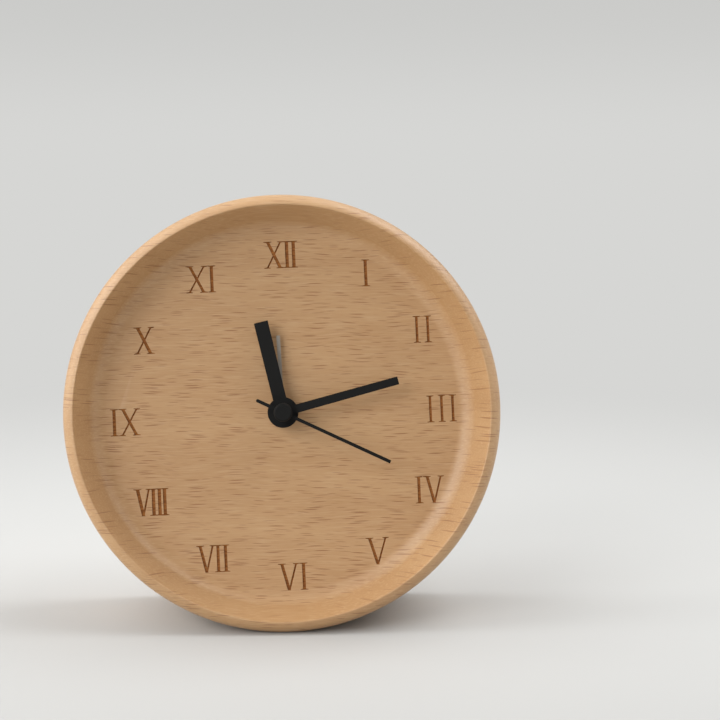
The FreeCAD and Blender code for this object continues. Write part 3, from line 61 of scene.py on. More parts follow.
MM = 0.001
FRAME_SIDE = 720
SQUARE_CORNER = 90
# Lowest and highest value that a noise texture reaches over most of a surface
NOISE_LOW, NOISE_HIGH = 0.3, 0.7


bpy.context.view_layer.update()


def linear(colour: str) -> tuple[float, float, float, float]:
    """Turn an sRGB hex colour into the linear one that a shader takes.

    Args:
        colour: six hex digits after a hash sign.

    Returns:
        Red, green, blue and an alpha of one.
    """
    channels = []
    for start in (1, 3, 5):
        share = int(colour[start:start + 2], 16) / 255
        channels.append(share / 12.92 if share <= 0.04045 else ((share + 0.055) / 1.055) ** 2.4)
    return (*channels, 1.0)


def add_node(tree: bpy.types.NodeTree, kind: str, links: dict | None = None, **settings) -> bpy.types.Node:
    """Add one node to a tree, with its settings and its links.

    Args:
        tree: the node tree.
        kind: Blender's name of the node type.
        links: for each input, by name or number, the socket or the value that feeds it.
        settings: properties of the node.

    Returns:
        The new node.
    """
    node = tree.nodes.new(kind)
    for name, setting in settings.items():
        setattr(node, name, setting)
    for name, source in (links or {}).items():
        if isinstance(source, bpy.types.NodeSocket):
            tree.links.new(source, node.inputs[name])
        else:
            node.inputs[name].default_value = source
    return node


def fresh_material(name: str) -> tuple[bpy.types.Material, bpy.types.Node]:
    """Return a new material and its Principled shader, ready to be wired."""
    material = bpy.data.materials.new(name)
    material.use_nodes = True
    tree = material.node_tree
    tree.nodes.clear()
    shader = add_node(tree, "ShaderNodeBsdfPrincipled")
    add_node(tree, "ShaderNodeOutputMaterial", {"Surface": shader.outputs["BSDF"]})
    return material, shader


def put_in_scene(name: str, shape: bmesh.types.BMesh) -> bpy.types.Object:
    """Turn a worked shape into a scene object.

    Args:
        name: the new object's and mesh's name.
        shape: the shape, which is freed.

    Returns:
        The object, linked into the scene.
    """
    mesh = bpy.data.meshes.new(name)
    shape.to_mesh(mesh)
    shape.free()
    piece = bpy.data.objects.new(name, mesh)
    bpy.context.scene.collection.objects.link(piece)
    return piece


@dataclass(frozen=True)
class DialFrame:
    """The tilted frame of the dial, read from the axis that the second hand turns on."""

    origin: Vector
    lean: float

    @classmethod
    def from_joint(cls, name: str) -> "DialFrame":
        """Read the frame from a joint whose axis points into the clock through the dial's middle.

        Args:
            name: the joint's name.

        Returns:
            The dial frame, with its origin in metres and its lean in radians.
        """
        joint = next(item for item in frame["joints"] if item["name"] == name)
        inward = Vector(joint["axis"])
        return cls(Vector(joint["pos_m"]), math.atan2(-inward.z, inward.y))

    @property
    def matrix(self) -> Matrix:
        """The dial frame's place in the world, for points in metres."""
        return Matrix.Translation(self.origin) @ Matrix.Rotation(math.pi / 2 - self.lean, 4, "X")

    def place(self, x: float, y: float, z: float) -> Vector:
        """Return the world point of a place on the dial given in millimetres."""
        return self.matrix @ (Vector((x, y, z)) * MM)

    @property
    def outward(self) -> Vector:
        """The direction out of the dial."""
        return self.matrix.to_3x3() @ Vector((0, 0, 1))


DIAL = DialFrame.from_joint("second_hand_turn")


def dial_coordinates(tree: bpy.types.NodeTree) -> bpy.types.NodeSocket:
    """Return object-space coordinates in millimetres, square to the dial, for a wood pattern."""
    space = add_node(tree, "ShaderNodeTexCoord")
    return add_node(
        tree,
        "ShaderNodeMapping",
        {
            "Vector": space.outputs["Object"],
            "Location": DIAL.origin,
            "Rotation": (math.pi / 2 - DIAL.lean, 0.0, 0.0),
            "Scale": (MM, MM, MM),
        },
        vector_type="TEXTURE",
    ).outputs["Vector"]


def millimetre_coordinates(tree: bpy.types.NodeTree) -> bpy.types.NodeSocket:
    """Return object-space coordinates in millimetres."""
    space = add_node(tree, "ShaderNodeTexCoord")
    return add_node(
        tree,
        "ShaderNodeVectorMath",
        {0: space.outputs["Object"], "Scale": 1 / MM},
        operation="SCALE",
    ).outputs["Vector"]


def stretched(tree: bpy.types.NodeTree, base: bpy.types.NodeSocket,
              spacing: Vector) -> bpy.types.NodeSocket:
    """Divide coordinates by a pattern's spacing along each axis, in millimetres."""
    return add_node(
        tree, "ShaderNodeVectorMath", {0: base, 1: spacing}, operation="DIVIDE"
    ).outputs["Vector"]


def combined(tree: bpy.types.NodeTree, operation: str, first: bpy.types.NodeSocket | float,
             second: bpy.types.NodeSocket | float) -> bpy.types.NodeSocket:
    """Combine two values, each a socket or a number, by a math node's operation."""
    return add_node(tree, "ShaderNodeMath", {0: first, 1: second}, operation=operation).outputs["Value"]


def ramp(tree: bpy.types.NodeTree, value: bpy.types.NodeSocket, low: float, high: float,
         to_low: float = 0.0, to_high: float = 1.0) -> bpy.types.NodeSocket:
    """Map a value smoothly from one range to another, held at both ends."""
    return add_node(
        tree,
        "ShaderNodeMapRange",
        {"Value": value, "From Min": low, "From Max": high, "To Min": to_low, "To Max": to_high},
        interpolation_type="SMOOTHSTEP",
    ).outputs["Result"]


def tint(tree: bpy.types.NodeTree, amount: bpy.types.NodeSocket,
         base: bpy.types.NodeSocket | tuple[float, ...],
         over: bpy.types.NodeSocket | tuple[float, ...]) -> bpy.types.NodeSocket:
    """Lay one colour over another by an amount; each colour is a socket or a linear value."""
    mix = add_node(tree, "ShaderNodeMix", {"Factor": amount}, data_type="RGBA")
    for name, colour in (("A", base), ("B", over)):
        socket = next(item for item in mix.inputs if item.name == name and item.type == "RGBA")
        if isinstance(colour, bpy.types.NodeSocket):
            tree.links.new(colour, socket)
        else:
            socket.default_value = colour
    return next(item for item in mix.outputs if item.type == "RGBA")


@dataclass(frozen=True)
class BeechGrain:
    """The pattern inside a block of steamed beech, with the grain along the dial's x axis.

    Rays are thin ribbons that run into the block from the dial, so a flat-sawn face shows their
    ends as short dark dashes and the sides of the block show them as lines and flecks.
    """

    ray_length: float = 10.5
    ray_pitch: float = 0.6
    ray_share: float = 0.3
    fine_ray_length: float = 7.5
    fine_ray_pitch: float = 0.5
    fine_ray_share: float = 0.24
    ray_depth: float = 7.0
    small_ray: float = 0.5
    faint_ray: float = 0.5
    ray_core: float = 0.3
    gap_pitches: float = 1.5
    gaps_from: float = 0.2
    gaps_to: float = 0.36
    crown_share: float = 0.3
    crown_from: float = 0.6
    crown_to: float = 0.97
    fibre_length: float = 9.0
    fibre_width: float = 0.34
    fibre_depth_ratio: float = 1.5
    streak_roughness: float = 0.55
    ring_length: float = 75.0
    ring_pitch: float = 9.0
    ring_depth: float = 40.0
    wander: float = 0.4
    wander_length: float = 20.0
    wander_width: float = 7.0
    wander_depth: float = 30.0

    def coordinates(self, tree: bpy.types.NodeTree) -> bpy.types.NodeSocket:
        """Return dial coordinates in which straight lines wander a little, as real fibres do."""
        base = dial_coordinates(tree)
        spacing = Vector((self.wander_length, self.wander_width, self.wander_depth))
        sway = add_node(
            tree,
            "ShaderNodeTexNoise",
            {"Vector": stretched(tree, base, spacing), "Scale": 1.0, "Detail": 1.0},
        ).outputs["Fac"]
        offset = add_node(
            tree,
            "ShaderNodeMapRange",
            {
                "Value": sway,
                "From Min": NOISE_LOW,
                "From Max": NOISE_HIGH,
                "To Min": -self.wander,
                "To Max": self.wander,
            },
        ).outputs["Result"]
        shift = add_node(tree, "ShaderNodeCombineXYZ", {"Y": offset}).outputs["Vector"]
        return add_node(
            tree, "ShaderNodeVectorMath", {0: base, 1: shift}, operation="ADD"
        ).outputs["Vector"]

    def rays(self, tree: bpy.types.NodeTree, base: bpy.types.NodeSocket, length: float, pitch: float,
             share: float) -> bpy.types.NodeSocket:
        """Return a mask of lens-shaped ray ends, each carried on into the block.

        Args:
            tree: the node tree.
            base: coordinates in millimetres.
            length: mean spacing of the rays along the grain.
            pitch: mean spacing across it.
            share: the largest ray's reach, as a share of the spacing.

        Returns:
            Up to one inside a ray and zero outside, with soft ends.
        """
        cells = add_node(
            tree,
            "ShaderNodeTexVoronoi",
            {
                "Vector": stretched(tree, base, Vector((length, pitch, 1.0))),
                "Scale": 1.0,
                "Randomness": 1.0,
            },
            voronoi_dimensions="2D",
        )
        own = add_node(tree, "ShaderNodeSeparateColor", {"Color": cells.outputs["Color"]})
        reach = ramp(tree, own.outputs["Red"], 0.0, 1.0, self.small_ray * share, share)
        depth = combined(tree, "DIVIDE", cells.outputs["Distance"], reach)
        mask = ramp(tree, depth, 1.0, self.ray_core)
        strength = ramp(tree, own.outputs["Green"], 0.0, 1.0, self.faint_ray, 1.0)
        spacing = Vector((length, self.gap_pitches * pitch, self.ray_depth))
        kept = ramp(tree, self.streaks(tree, base, spacing, 0.0), self.gaps_from, self.gaps_to)
        for part in (strength, kept, self.end_share(tree)):
            mask = combined(tree, "MULTIPLY", mask, part)
        return mask

    def end_share(self, tree: bpy.types.NodeTree) -> bpy.types.NodeSocket:
        """Return how clearly rays show: fully at their ends, and faintly on the top of the rim."""
        space = add_node(tree, "ShaderNodeTexCoord")
        up_the_dial = DIAL.matrix.to_3x3() @ Vector((0, 1, 0))
        facing = add_node(
            tree,
            "ShaderNodeVectorMath",
            {0: space.outputs["Normal"], 1: up_the_dial},
            operation="DOT_PRODUCT",
        ).outputs["Value"]
        steep = add_node(tree, "ShaderNodeMath", {0: facing}, operation="ABSOLUTE").outputs["Value"]
        return ramp(tree, steep, self.crown_from, self.crown_to, 1.0, self.crown_share)

    def streaks(self, tree: bpy.types.NodeTree, base: bpy.types.NodeSocket, spacing: Vector,
                detail: float) -> bpy.types.NodeSocket:
        """Return smooth streaks along the grain, from a noise that is long that way."""
        return add_node(
            tree,
            "ShaderNodeTexNoise",
            {
                "Vector": stretched(tree, base, spacing),
                "Scale": 1.0,
                "Detail": detail,
                "Roughness": self.streak_roughness,
            },
        ).outputs["Fac"]


@dataclass(frozen=True)
class TurnedBeech:
    """Steamed beech, turned, sanded fine and wiped with a clear satin oil.

    The eye gets a warm, even tan with fine brown ray dashes, faint fibre streaks and a soft sheen
    on the curves.
    """

    tone: str = "#BA9163"
    pale: str = "#C39F76"
    ray: str = "#8C5A2E"
    fine_ray: str = "#A37548"
    warm: str = "#B3895B"
    ring_bounds: tuple[float, float] = (0.36, 0.66)
    fibre_bounds: tuple[float, float] = (0.42, 0.78)
    fibre_strength: float = 0.75
    fine_ray_strength: float = 0.55
    ray_strength: float = 0.85
    roughness: float = 0.58
    ior: float = 1.5
    oil_coat: float = 0.7
    oil_roughness: float = 0.4
    pore_depth: float = 0.02
    grain: BeechGrain = field(default_factory=BeechGrain)

    def material(self) -> bpy.types.Material:
        """Build the wood's material."""
        material, shader = fresh_material("turned_beech")
        tree = material.node_tree
        grain = self.grain
        base = grain.coordinates(tree)
        ring_size = Vector((grain.ring_length, grain.ring_pitch, grain.ring_depth))
        rings = grain.streaks(tree, base, ring_size, 2.0)
        colour = tint(tree, ramp(tree, rings, *self.ring_bounds), linear(self.warm), linear(self.tone))
        fibre_depth = grain.fibre_depth_ratio * grain.fibre_width
        fibre_size = Vector((grain.fibre_length, grain.fibre_width, fibre_depth))
        fibres = grain.streaks(tree, base, fibre_size, 3.0)
        pale = ramp(tree, fibres, *self.fibre_bounds, 0.0, self.fibre_strength)
        colour = tint(tree, pale, colour, linear(self.pale))
        fine = grain.rays(tree, base, grain.fine_ray_length, grain.fine_ray_pitch, grain.fine_ray_share)
        brown = ramp(tree, fine, 0.0, 1.0, 0.0, self.fine_ray_strength)
        colour = tint(tree, brown, colour, linear(self.fine_ray))
        large = grain.rays(tree, base, grain.ray_length, grain.ray_pitch, grain.ray_share)
        dark = ramp(tree, large, 0.0, 1.0, 0.0, self.ray_strength)
        colour = tint(tree, dark, colour, linear(self.ray))
        tree.links.new(colour, shader.inputs["Base Color"])
        shader.inputs["Roughness"].default_value = self.roughness
        shader.inputs["IOR"].default_value = self.ior
        shader.inputs["Coat Weight"].default_value = self.oil_coat
        shader.inputs["Coat Roughness"].default_value = self.oil_roughness
        pores = add_node(
            tree,
            "ShaderNodeBump",
            {"Height": large, "Distance": self.pore_depth * MM, "Strength": 1.0},
            invert=True,
        )
        tree.links.new(pores.outputs["Normal"], shader.inputs["Normal"])
        return material


@dataclass(frozen=True)
class BurntBeech:
    """The floor and sides of the numerals, where a laser has burnt the beech away.

    The eye gets a red-brown scorched groove, darker in small patches along the grain.
    """

    scorch: str = "#7C4514"
    light_scorch: str = "#A3662B"
    patch_size: tuple[float, float, float] = (1.6, 0.5, 2.0)
    patch_bounds: tuple[float, float] = (0.3, 0.75)
    roughness: float = 0.8
    grain: BeechGrain = field(default_factory=BeechGrain)

    def material(self) -> bpy.types.Material:
        """Build the scorched wood's material."""
        material, shader = fresh_material("burnt_beech")
        tree = material.node_tree
        base = self.grain.coordinates(tree)
        patches = self.grain.streaks(tree, base, Vector(self.patch_size), 3.0)
        light = ramp(tree, patches, *self.patch_bounds)
        colour = tint(tree, light, linear(self.scorch), linear(self.light_scorch))
        tree.links.new(colour, shader.inputs["Base Color"])
        shader.inputs["Roughness"].default_value = self.roughness
        return material


@dataclass(frozen=True)
class GrainedFinish:
    """A finish whose colour and surface vary only a little, by a fine even grain.

    The eye gets the small mottling that keeps moulded, painted or plated stock from looking flat.
    """

    name: str
    colour: str
    varied: str
    roughness: float
    metallic: float = 0.0
    ior: float = 1.5
    grit: float = 0.25
    relief: float = 0.01
    gloss_bounds: tuple[float, float] = (0.25, 0.75)
    smoother: float = 0.05
    rougher: float = 0.07

    def material(self) -> bpy.types.Material:
        """Build the finish's material."""
        material, shader = fresh_material(self.name)
        tree = material.node_tree
        base = millimetre_coordinates(tree)
        grit = Vector((self.grit,) * 3)
        speckle = add_node(
            tree,
            "ShaderNodeTexNoise",
            {"Vector": stretched(tree, base, grit), "Scale": 1.0, "Detail": 2.0, "Roughness": 0.5},
        ).outputs["Fac"]
        varied = ramp(tree, speckle, NOISE_LOW, NOISE_HIGH)
        colour = tint(tree, varied, linear(self.colour), linear(self.varied))
        tree.links.new(colour, shader.inputs["Base Color"])
        gloss = ramp(tree, speckle, *self.gloss_bounds, self.roughness - self.smoother,
                     self.roughness + self.rougher)
        tree.links.new(gloss, shader.inputs["Roughness"])
        shader.inputs["Metallic"].default_value = self.metallic
        if not self.metallic:
            shader.inputs["IOR"].default_value = self.ior
        bump = add_node(
            tree, "ShaderNodeBump", {"Height": speckle, "Distance": self.relief * MM, "Strength": 1.0}
        )
        tree.links.new(bump.outputs["Normal"], shader.inputs["Normal"])
        return material


# Spark-eroded ABS: deep black with a fine matt texture that spreads highlights
MOULDED_ABS = GrainedFinish("spark_eroded_abs", "#1B1B1C", "#232324", 0.62, grit=0.22, relief=0.02)
# Polished-tool ABS: the same black with a cleaner sheen on the flutes
KNOB_ABS = GrainedFinish("satin_abs", "#202021", "#28282A", 0.42, grit=0.6, relief=0.004)
# Natural acetal: milky white with a waxy sheen
ACETAL = GrainedFinish("natural_acetal", "#E4E1D6", "#D9D5C8", 0.4, ior=1.48, grit=0.8, relief=0.004)
# Matt enamel on stamped aluminium: near black, with a faint orange peel
BLACK_ENAMEL = GrainedFinish(
    "matt_black_enamel", "#0B0B0A", "#100F0E", 0.6, ior=1.3, grit=0.18, relief=0.006)
# Grey enamel on stamped aluminium: a quiet warm grey
GREY_ENAMEL = GrainedFinish("matt_grey_enamel", "#8F867B", "#9A9186", 0.5, grit=0.18, relief=0.006)
# Nickel plate on spring steel: bright, slightly cloudy
NICKEL_PLATE = GrainedFinish(
    "nickel_plated_steel", "#B9B7B2", "#A9A8A5", 0.28, metallic=1.0, grit=0.5, relief=0.003)
# Rolled brass sheet: warm yellow with a slight haze
ROLLED_BRASS = GrainedFinish(
    "rolled_brass", "#C4A15A", "#B5914C", 0.32, metallic=1.0, grit=0.5, relief=0.003)
# Enamelled copper wire: a lacquered orange brown
MAGNET_WIRE = GrainedFinish(
    "enamelled_copper_wire", "#B5652E", "#9D5424", 0.3, metallic=0.6, grit=0.12, relief=0.02)
# Sintered ferrite: a dull charcoal ceramic
FERRITE = GrainedFinish("sintered_ferrite", "#35353A", "#2B2B30", 0.55, grit=0.15, relief=0.008)
# Solder mask over fibreglass: a glossy deep green, slightly mottled
SOLDER_MASK = GrainedFinish("solder_mask", "#1E5B38", "#17492C", 0.3, grit=0.5, relief=0.006)
# Moulded epoxy: satin black with a fine matt skin
EPOXY = GrainedFinish("moulded_epoxy", "#161616", "#1E1E1E", 0.45, grit=0.15, relief=0.006)
# Extruded PVC sleeve: a deep satin red
PVC_SLEEVE = GrainedFinish("red_pvc_sleeve", "#A8201C", "#931813", 0.4, grit=0.5, relief=0.004)


@dataclass(frozen=True)
class CellJacket:
    """Shrunk foil jacket of a size AA cell: a dark body, a copper-coloured end and a bare steel nub.

    The eye gets two plain glossy bands and bright metal at both ends.
    """

    body: str = "#23262B"
    band: str = "#B87A42"
    steel: str = "#C4C3C0"
    band_share: float = 0.27
    end_share: float = 0.035
    edge: float = 0.002
    band_metal: float = 0.6
    roughness: float = 0.27

    def material(self) -> bpy.types.Material:
        """Build the jacket's material, with its bands laid along the cell."""
        material, shader = fresh_material("shrunk_foil_jacket")
        tree = material.node_tree
        low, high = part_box("battery_cell")
        along = add_node(
            tree, "ShaderNodeSeparateXYZ", {"Vector": millimetre_coordinates(tree)}
        ).outputs["X"]
        share = add_node(
            tree,
            "ShaderNodeMapRange",
            {"Value": along, "From Min": low.x / MM, "From Max": high.x / MM},
        ).outputs["Result"]
        foot_share = 1 - self.end_share / 2
        copper = ramp(tree, share, self.band_share + self.edge, self.band_share)
        nub = ramp(tree, share, self.end_share, self.end_share - self.edge)
        foot = ramp(tree, share, foot_share, foot_share + self.edge)
        bare = combined(tree, "MAXIMUM", nub, foot)
        colour = tint(tree, copper, linear(self.body), linear(self.band))
        colour = tint(tree, bare, colour, linear(self.steel))
        tree.links.new(colour, shader.inputs["Base Color"])
        metal = combined(tree, "MAXIMUM", combined(tree, "MULTIPLY", copper, self.band_metal), bare)
        tree.links.new(metal, shader.inputs["Metallic"])
        shader.inputs["Roughness"].default_value = self.roughness
        return material


def prism(name: str, outline: list[tuple[float, float]], low: float, high: float) -> bpy.types.Object:
    """Stand a prism on the dial.

    Args:
        name: the new object's name.
        outline: corners on the dial plane in millimetres, anticlockwise.
        low: height of its lower face above the dial floor.
        high: height of its upper face.

    Returns:
        A closed solid in world coordinates.
    """
    shape = bmesh.new()
    rows = [[shape.verts.new(DIAL.place(x, y, z)) for x, y in outline] for z in (low, high)]
    shape.faces.new(list(reversed(rows[0])))
    shape.faces.new(rows[1])
    for number in range(len(outline)):
        following = (number + 1) % len(outline)
        shape.faces.new((rows[0][number], rows[0][following], rows[1][following], rows[1][number]))
    return put_in_scene(name, shape)


def round_outline(radius: float, x: float = 0.0, y: float = 0.0,
                  sides: int = 64) -> list[tuple[float, float]]:
    """Return a circle on the dial plane as a fine polygon."""
    turns = (2 * math.pi * number / sides for number in range(sides))
    return [(x + radius * math.cos(turn), y + radius * math.sin(turn)) for turn in turns]


def block_outline(left: float, low: float, right: float, high: float, corner: float = 0.0,
                  steps: int = 8) -> list[tuple[float, float]]:
    """Return a rectangle on the dial plane, with round corners where a radius is given."""
    if not corner:
        return [(left, low), (right, low), (right, high), (left, high)]
    points = []
    for x, y, first in (
        (right - corner, low + corner, -90),
        (right - corner, high - corner, 0),
        (left + corner, high - corner, 90),
        (left + corner, low + corner, 180),
    ):
        for step in range(steps + 1):
            turn = math.radians(first + SQUARE_CORNER * step / steps)
            points.append((x + corner * math.cos(turn), y + corner * math.sin(turn)))
    return points


class Letter(enum.Enum):
    """The three letters that Roman numerals up to twelve are written with."""

    I = "I"
    V = "V"
    X = "X"


@dataclass(frozen=True)
class Stroke:
    """One letter of a numeral: which letter, how far right of the middle, and how wide."""

    letter: Letter
    shift: float
    width: float = 0.0


@dataclass
class Numerals:
    """Twelve upright Roman numerals with thick and thin strokes and hairline serifs.

    They stand on a ring that lies a little off the dial's middle, as the engraver's jig had it.
    """

    ring_radius: float = 41.1
    ring_x: float = 1.1
    ring_y: float = -0.72
    roll: float = 2.1
    height: float = 6.85
    thin: float = 0.44
    cross_spread: float = 0.25
    foot_shift: float = -0.12
    serif: float = 0.15
    bracket: float = 0.14
    serif_reach: float = 0.62
    depth: float = 0.3
    overshoot: float = 0.2
    hour_turn: float = 30.0
    depth_step: float = 0.002
    depth_steps: int = 7

    def layouts(self) -> dict[int, tuple[float, tuple[Stroke, ...]]]:
        """Return each hour's thick stroke width and letters, spaced as the engraver set them."""
        one, five, ten = Letter.I, Letter.V, Letter.X
        return {
            12: (0.84, (Stroke(ten, -1.68, 3.1), Stroke(one, 1.63), Stroke(one, 3.34))),
            1: (0.78, (Stroke(one, 1.04),)),
            2: (0.64, (Stroke(one, -1.5), Stroke(one, 1.34))),
            3: (0.64, (Stroke(one, -4.44), Stroke(one, -1.51), Stroke(one, 1.34))),
            4: (0.74, (Stroke(one, -2.76), Stroke(five, 1.18, 3.53))),
            5: (0.76, (Stroke(five, 1.1, 4.17),)),
            6: (0.78, (Stroke(five, -1.19, 3.69), Stroke(one, 2.5))),
            7: (0.74, (Stroke(five, -1.38, 3.24), Stroke(one, 1.5), Stroke(one, 3.42))),
            8: (0.84, (Stroke(five, -1.75, 2.91), Stroke(one, 0.79), Stroke(one, 2.31), Stroke(one, 3.62))),
            9: (0.8, (Stroke(one, -2.84), Stroke(ten, 1.04, 3.4))),
            10: (0.86, (Stroke(ten, 0.0, 3.2),)),
            11: (0.78, (Stroke(ten, -1.05, 3.45), Stroke(one, 2.76))),
        }

    def bar(self, x_low: float, x_high: float, width: float) -> list[tuple[float, float]]:
        """Return a slanting stroke the full height of a letter, between two middle points."""
        half = width / 2
        low, high = -self.height / 2, self.height / 2
        return [(x_low - half, low), (x_low + half, low), (x_high + half, high), (x_high - half, high)]

    def serif_at(self, x: float, top: bool, width: float) -> list[tuple[float, float]]:
        """Return the hairline foot that ends a stroke, with its small brackets."""
        side = 1 if top else -1
        end = side * self.height / 2
        inner = end - side * self.serif
        deep = inner - side * self.bracket
        half = width / 2
        reach = half + self.serif_reach
        points = [(x - reach, end), (x - reach, inner), (x - half, deep), (x + half, deep),
                  (x + reach, inner), (x + reach, end)]
        return points if top else list(reversed(points))

    def letter_outlines(self, stroke: Stroke, thick: float) -> list[list[tuple[float, float]]]:
        """Return the outlines that one letter is made of, about the numeral's own middle."""
        x = stroke.shift
        half = stroke.width / 2
        if stroke.letter is Letter.I:
            return [self.bar(x, x, thick), self.serif_at(x, True, thick), self.serif_at(x, False, thick)]
        if stroke.letter is Letter.V:
            foot = x + self.foot_shift
            return [
                self.bar(foot, x - half, thick),
                self.bar(foot, x + half, self.thin),
                self.serif_at(x - half, True, thick),
                self.serif_at(x + half, True, self.thin),
            ]
        wide = half + self.cross_spread
        return [
            self.bar(x + half, x - half, thick),
            self.bar(x - wide, x + wide, self.thin),
            self.serif_at(x - half, True, thick),
            self.serif_at(x + wide, True, self.thin),
            self.serif_at(x + half, False, thick),
            self.serif_at(x - wide, False, self.thin),
        ]

    def cutters(self) -> list[bpy.types.Object]:
        """Return one small prism for every stroke and serif of every numeral.

        Neighbours differ by a hair in depth, so that no two share a floor where they cross.
        """
        made = []
        lean = math.radians(self.roll)
        for hour, (thick, strokes) in self.layouts().items():
            turn = math.radians(self.hour_turn * hour - self.roll)
            middle = (
                self.ring_x + self.ring_radius * math.sin(turn),
                self.ring_y + self.ring_radius * math.cos(turn),
            )
            for stroke in strokes:
                for points in self.letter_outlines(stroke, thick):
                    turned = [
                        (
                            middle[0] + x * math.cos(lean) - y * math.sin(lean),
                            middle[1] + x * math.sin(lean) + y * math.cos(lean),
                        )
                        for x, y in points
                    ]
                    low = -self.depth - self.depth_step * (len(made) % self.depth_steps)
                    made.append(prism(f"numeral_cut_{len(made)}", turned, low, self.overshoot))
        return made


@dataclass
class Case:
    """The turned beech case, with the dish in front and the movement's pocket behind."""

    radius: float = 55.0
    length: float = 40.0
    dish_depth: float = 9.5
    lip_width: float = 2.8
    wall_run: float = 4.3
    dish_fillet: float = 5.0
    lip_round: float = 4.0
    ridge_soften: float = 0.3
    back_round: float = 1.5
    base_lead: float = 4.0
    dial_thickness: float = 5.0
    dial_hole: float = 3.4
    pocket_half: float = 28.5
    pocket_corner: float = 3.0
    ear_reach: float = 34.6
    ear_low: float = 3.0
    ear_high: float = 13.0
    ear_depth: float = 21.4
    pilot_radius: float = 1.1
    pilot_x: float = 31.4
    pilot_y: float = 8.0
    pilot_depth: float = 8.4
    cut_reach: float = 1.0
    sides: int = 288
    pilot_sides: int = 24
    arc_steps: int = 20
    ridge_steps: int = 5
    crease: float = 32.0
    flat: float = 0.01
    level: float = 0.9999
    numerals: Numerals = field(default_factory=Numerals)

    def arc(self, r: float, z: float, radius: float, first: float,
            last: float) -> list[tuple[float, float]]:
        """Return points along an arc of the profile, between two angles in degrees."""
        points = []
        for step in range(self.arc_steps + 1):
            turn = math.radians(first + (last - first) * step / self.arc_steps)
            points.append((r + radius * math.cos(turn), z + radius * math.sin(turn)))
        return points

    def profile(self) -> list[tuple[float, float]]:
        """Return the turned profile from the dial floor, over the lip, to the back."""
        ridge_r = self.radius - self.lip_width
        foot_r = ridge_r - self.wall_run
        slope = math.atan2(self.dish_depth, self.wall_run)
        tangent = self.dish_fillet * math.tan(slope / 2)
        fillet_end = math.degrees(slope) - SQUARE_CORNER
        fillet = self.arc(foot_r - tangent, self.dish_fillet, self.dish_fillet, -SQUARE_CORNER, fillet_end)
        lip_r = self.radius - self.lip_round
        lip_z = self.dish_depth - math.sqrt(self.lip_round ** 2 - (self.lip_round - self.lip_width) ** 2)
        ridge_turn = math.atan2(self.dish_depth - lip_z, ridge_r - lip_r)
        start_turn = ridge_turn - self.ridge_soften / self.lip_round
        lip = self.arc(lip_r, lip_z, self.lip_round, math.degrees(start_turn), 0)
        before = (
            ridge_r - self.ridge_soften * math.cos(slope),
            self.dish_depth - self.ridge_soften * math.sin(slope),
        )
        ridge = [before]
        for step in range(1, self.ridge_steps):
            share = step / self.ridge_steps
            weights = ((1 - share) ** 2, 2 * share * (1 - share), share ** 2)
            corners = (before, (ridge_r, self.dish_depth), lip[0])
            ridge.append(tuple(
                sum(weight * corner[axis] for weight, corner in zip(weights, corners)) for axis in (0, 1)
            ))
        back_z = self.dish_depth - self.length
        back = self.arc(self.radius - self.back_round, back_z + self.back_round, self.back_round, 0,
                        -SQUARE_CORNER)
        return fillet + ridge + lip + back

    def turned_block(self) -> bpy.types.Object:
        """Turn the profile into a closed solid."""
        shape = bmesh.new()
        rings = []
        for r, z in self.profile():
            turns = (2 * math.pi * number / self.sides for number in range(self.sides))
            rings.append([shape.verts.new(DIAL.place(r * math.cos(a), r * math.sin(a), z)) for a in turns])
        for inner, outer in zip(rings, rings[1:]):
            for number in range(self.sides):
                following = (number + 1) % self.sides
                shape.faces.new((inner[number], outer[number], outer[following], inner[following]))
        shape.faces.new(rings[0])
        shape.faces.new(list(reversed(rings[-1])))
        return put_in_scene("beech_case", shape)

    def cutters(self) -> list[bpy.types.Object]:
        """Return the solids that are cut out of the turned block."""
        reach = self.cut_reach
        behind = self.dish_depth - self.length - reach
        half = self.pocket_half
        base_start = self.dish_depth - self.base_lead
        ear = -self.ear_depth
        pilot = ear + self.pilot_depth
        cut = [
            prism("pocket_cut", block_outline(-half, -half, half, half, self.pocket_corner), behind,
                  -self.dial_thickness),
            prism("ears_cut", block_outline(-self.ear_reach, self.ear_low, self.ear_reach, self.ear_high),
                  behind, ear),
            prism("hole_cut", round_outline(self.dial_hole), -self.dial_thickness - reach, reach),
        ]
        for side in (-1, 1):
            outline = round_outline(self.pilot_radius, side * self.pilot_x, self.pilot_y, self.pilot_sides)
            cut.append(prism(f"pilot_cut_{len(cut)}", outline, ear - reach, pilot))
        cut.append(self.base_cutter(base_start))
        return cut + self.numerals.cutters()

    def base_cutter(self, start: float) -> bpy.types.Object:
        """Return the block below the flat that the clock stands on, down to the table and beyond."""
        foot = DIAL.place(0, -self.radius, start)
        side = 2 * self.radius * MM
        back = foot.y + side
        low, high = -side, 0.0
        around = ((-side, foot.y), (side, foot.y), (side, back), (-side, back))
        corners = [(x, y, z) for z in (low, high) for x, y in around]
        shape = bmesh.new()
        points = [shape.verts.new(corner) for corner in corners]
        for row in ((3, 2, 1, 0), (4, 5, 6, 7), (0, 1, 5, 4), (1, 2, 6, 5), (2, 3, 7, 6), (3, 0, 4, 7)):
            shape.faces.new([points[number] for number in row])
        return put_in_scene("base_cut", shape)

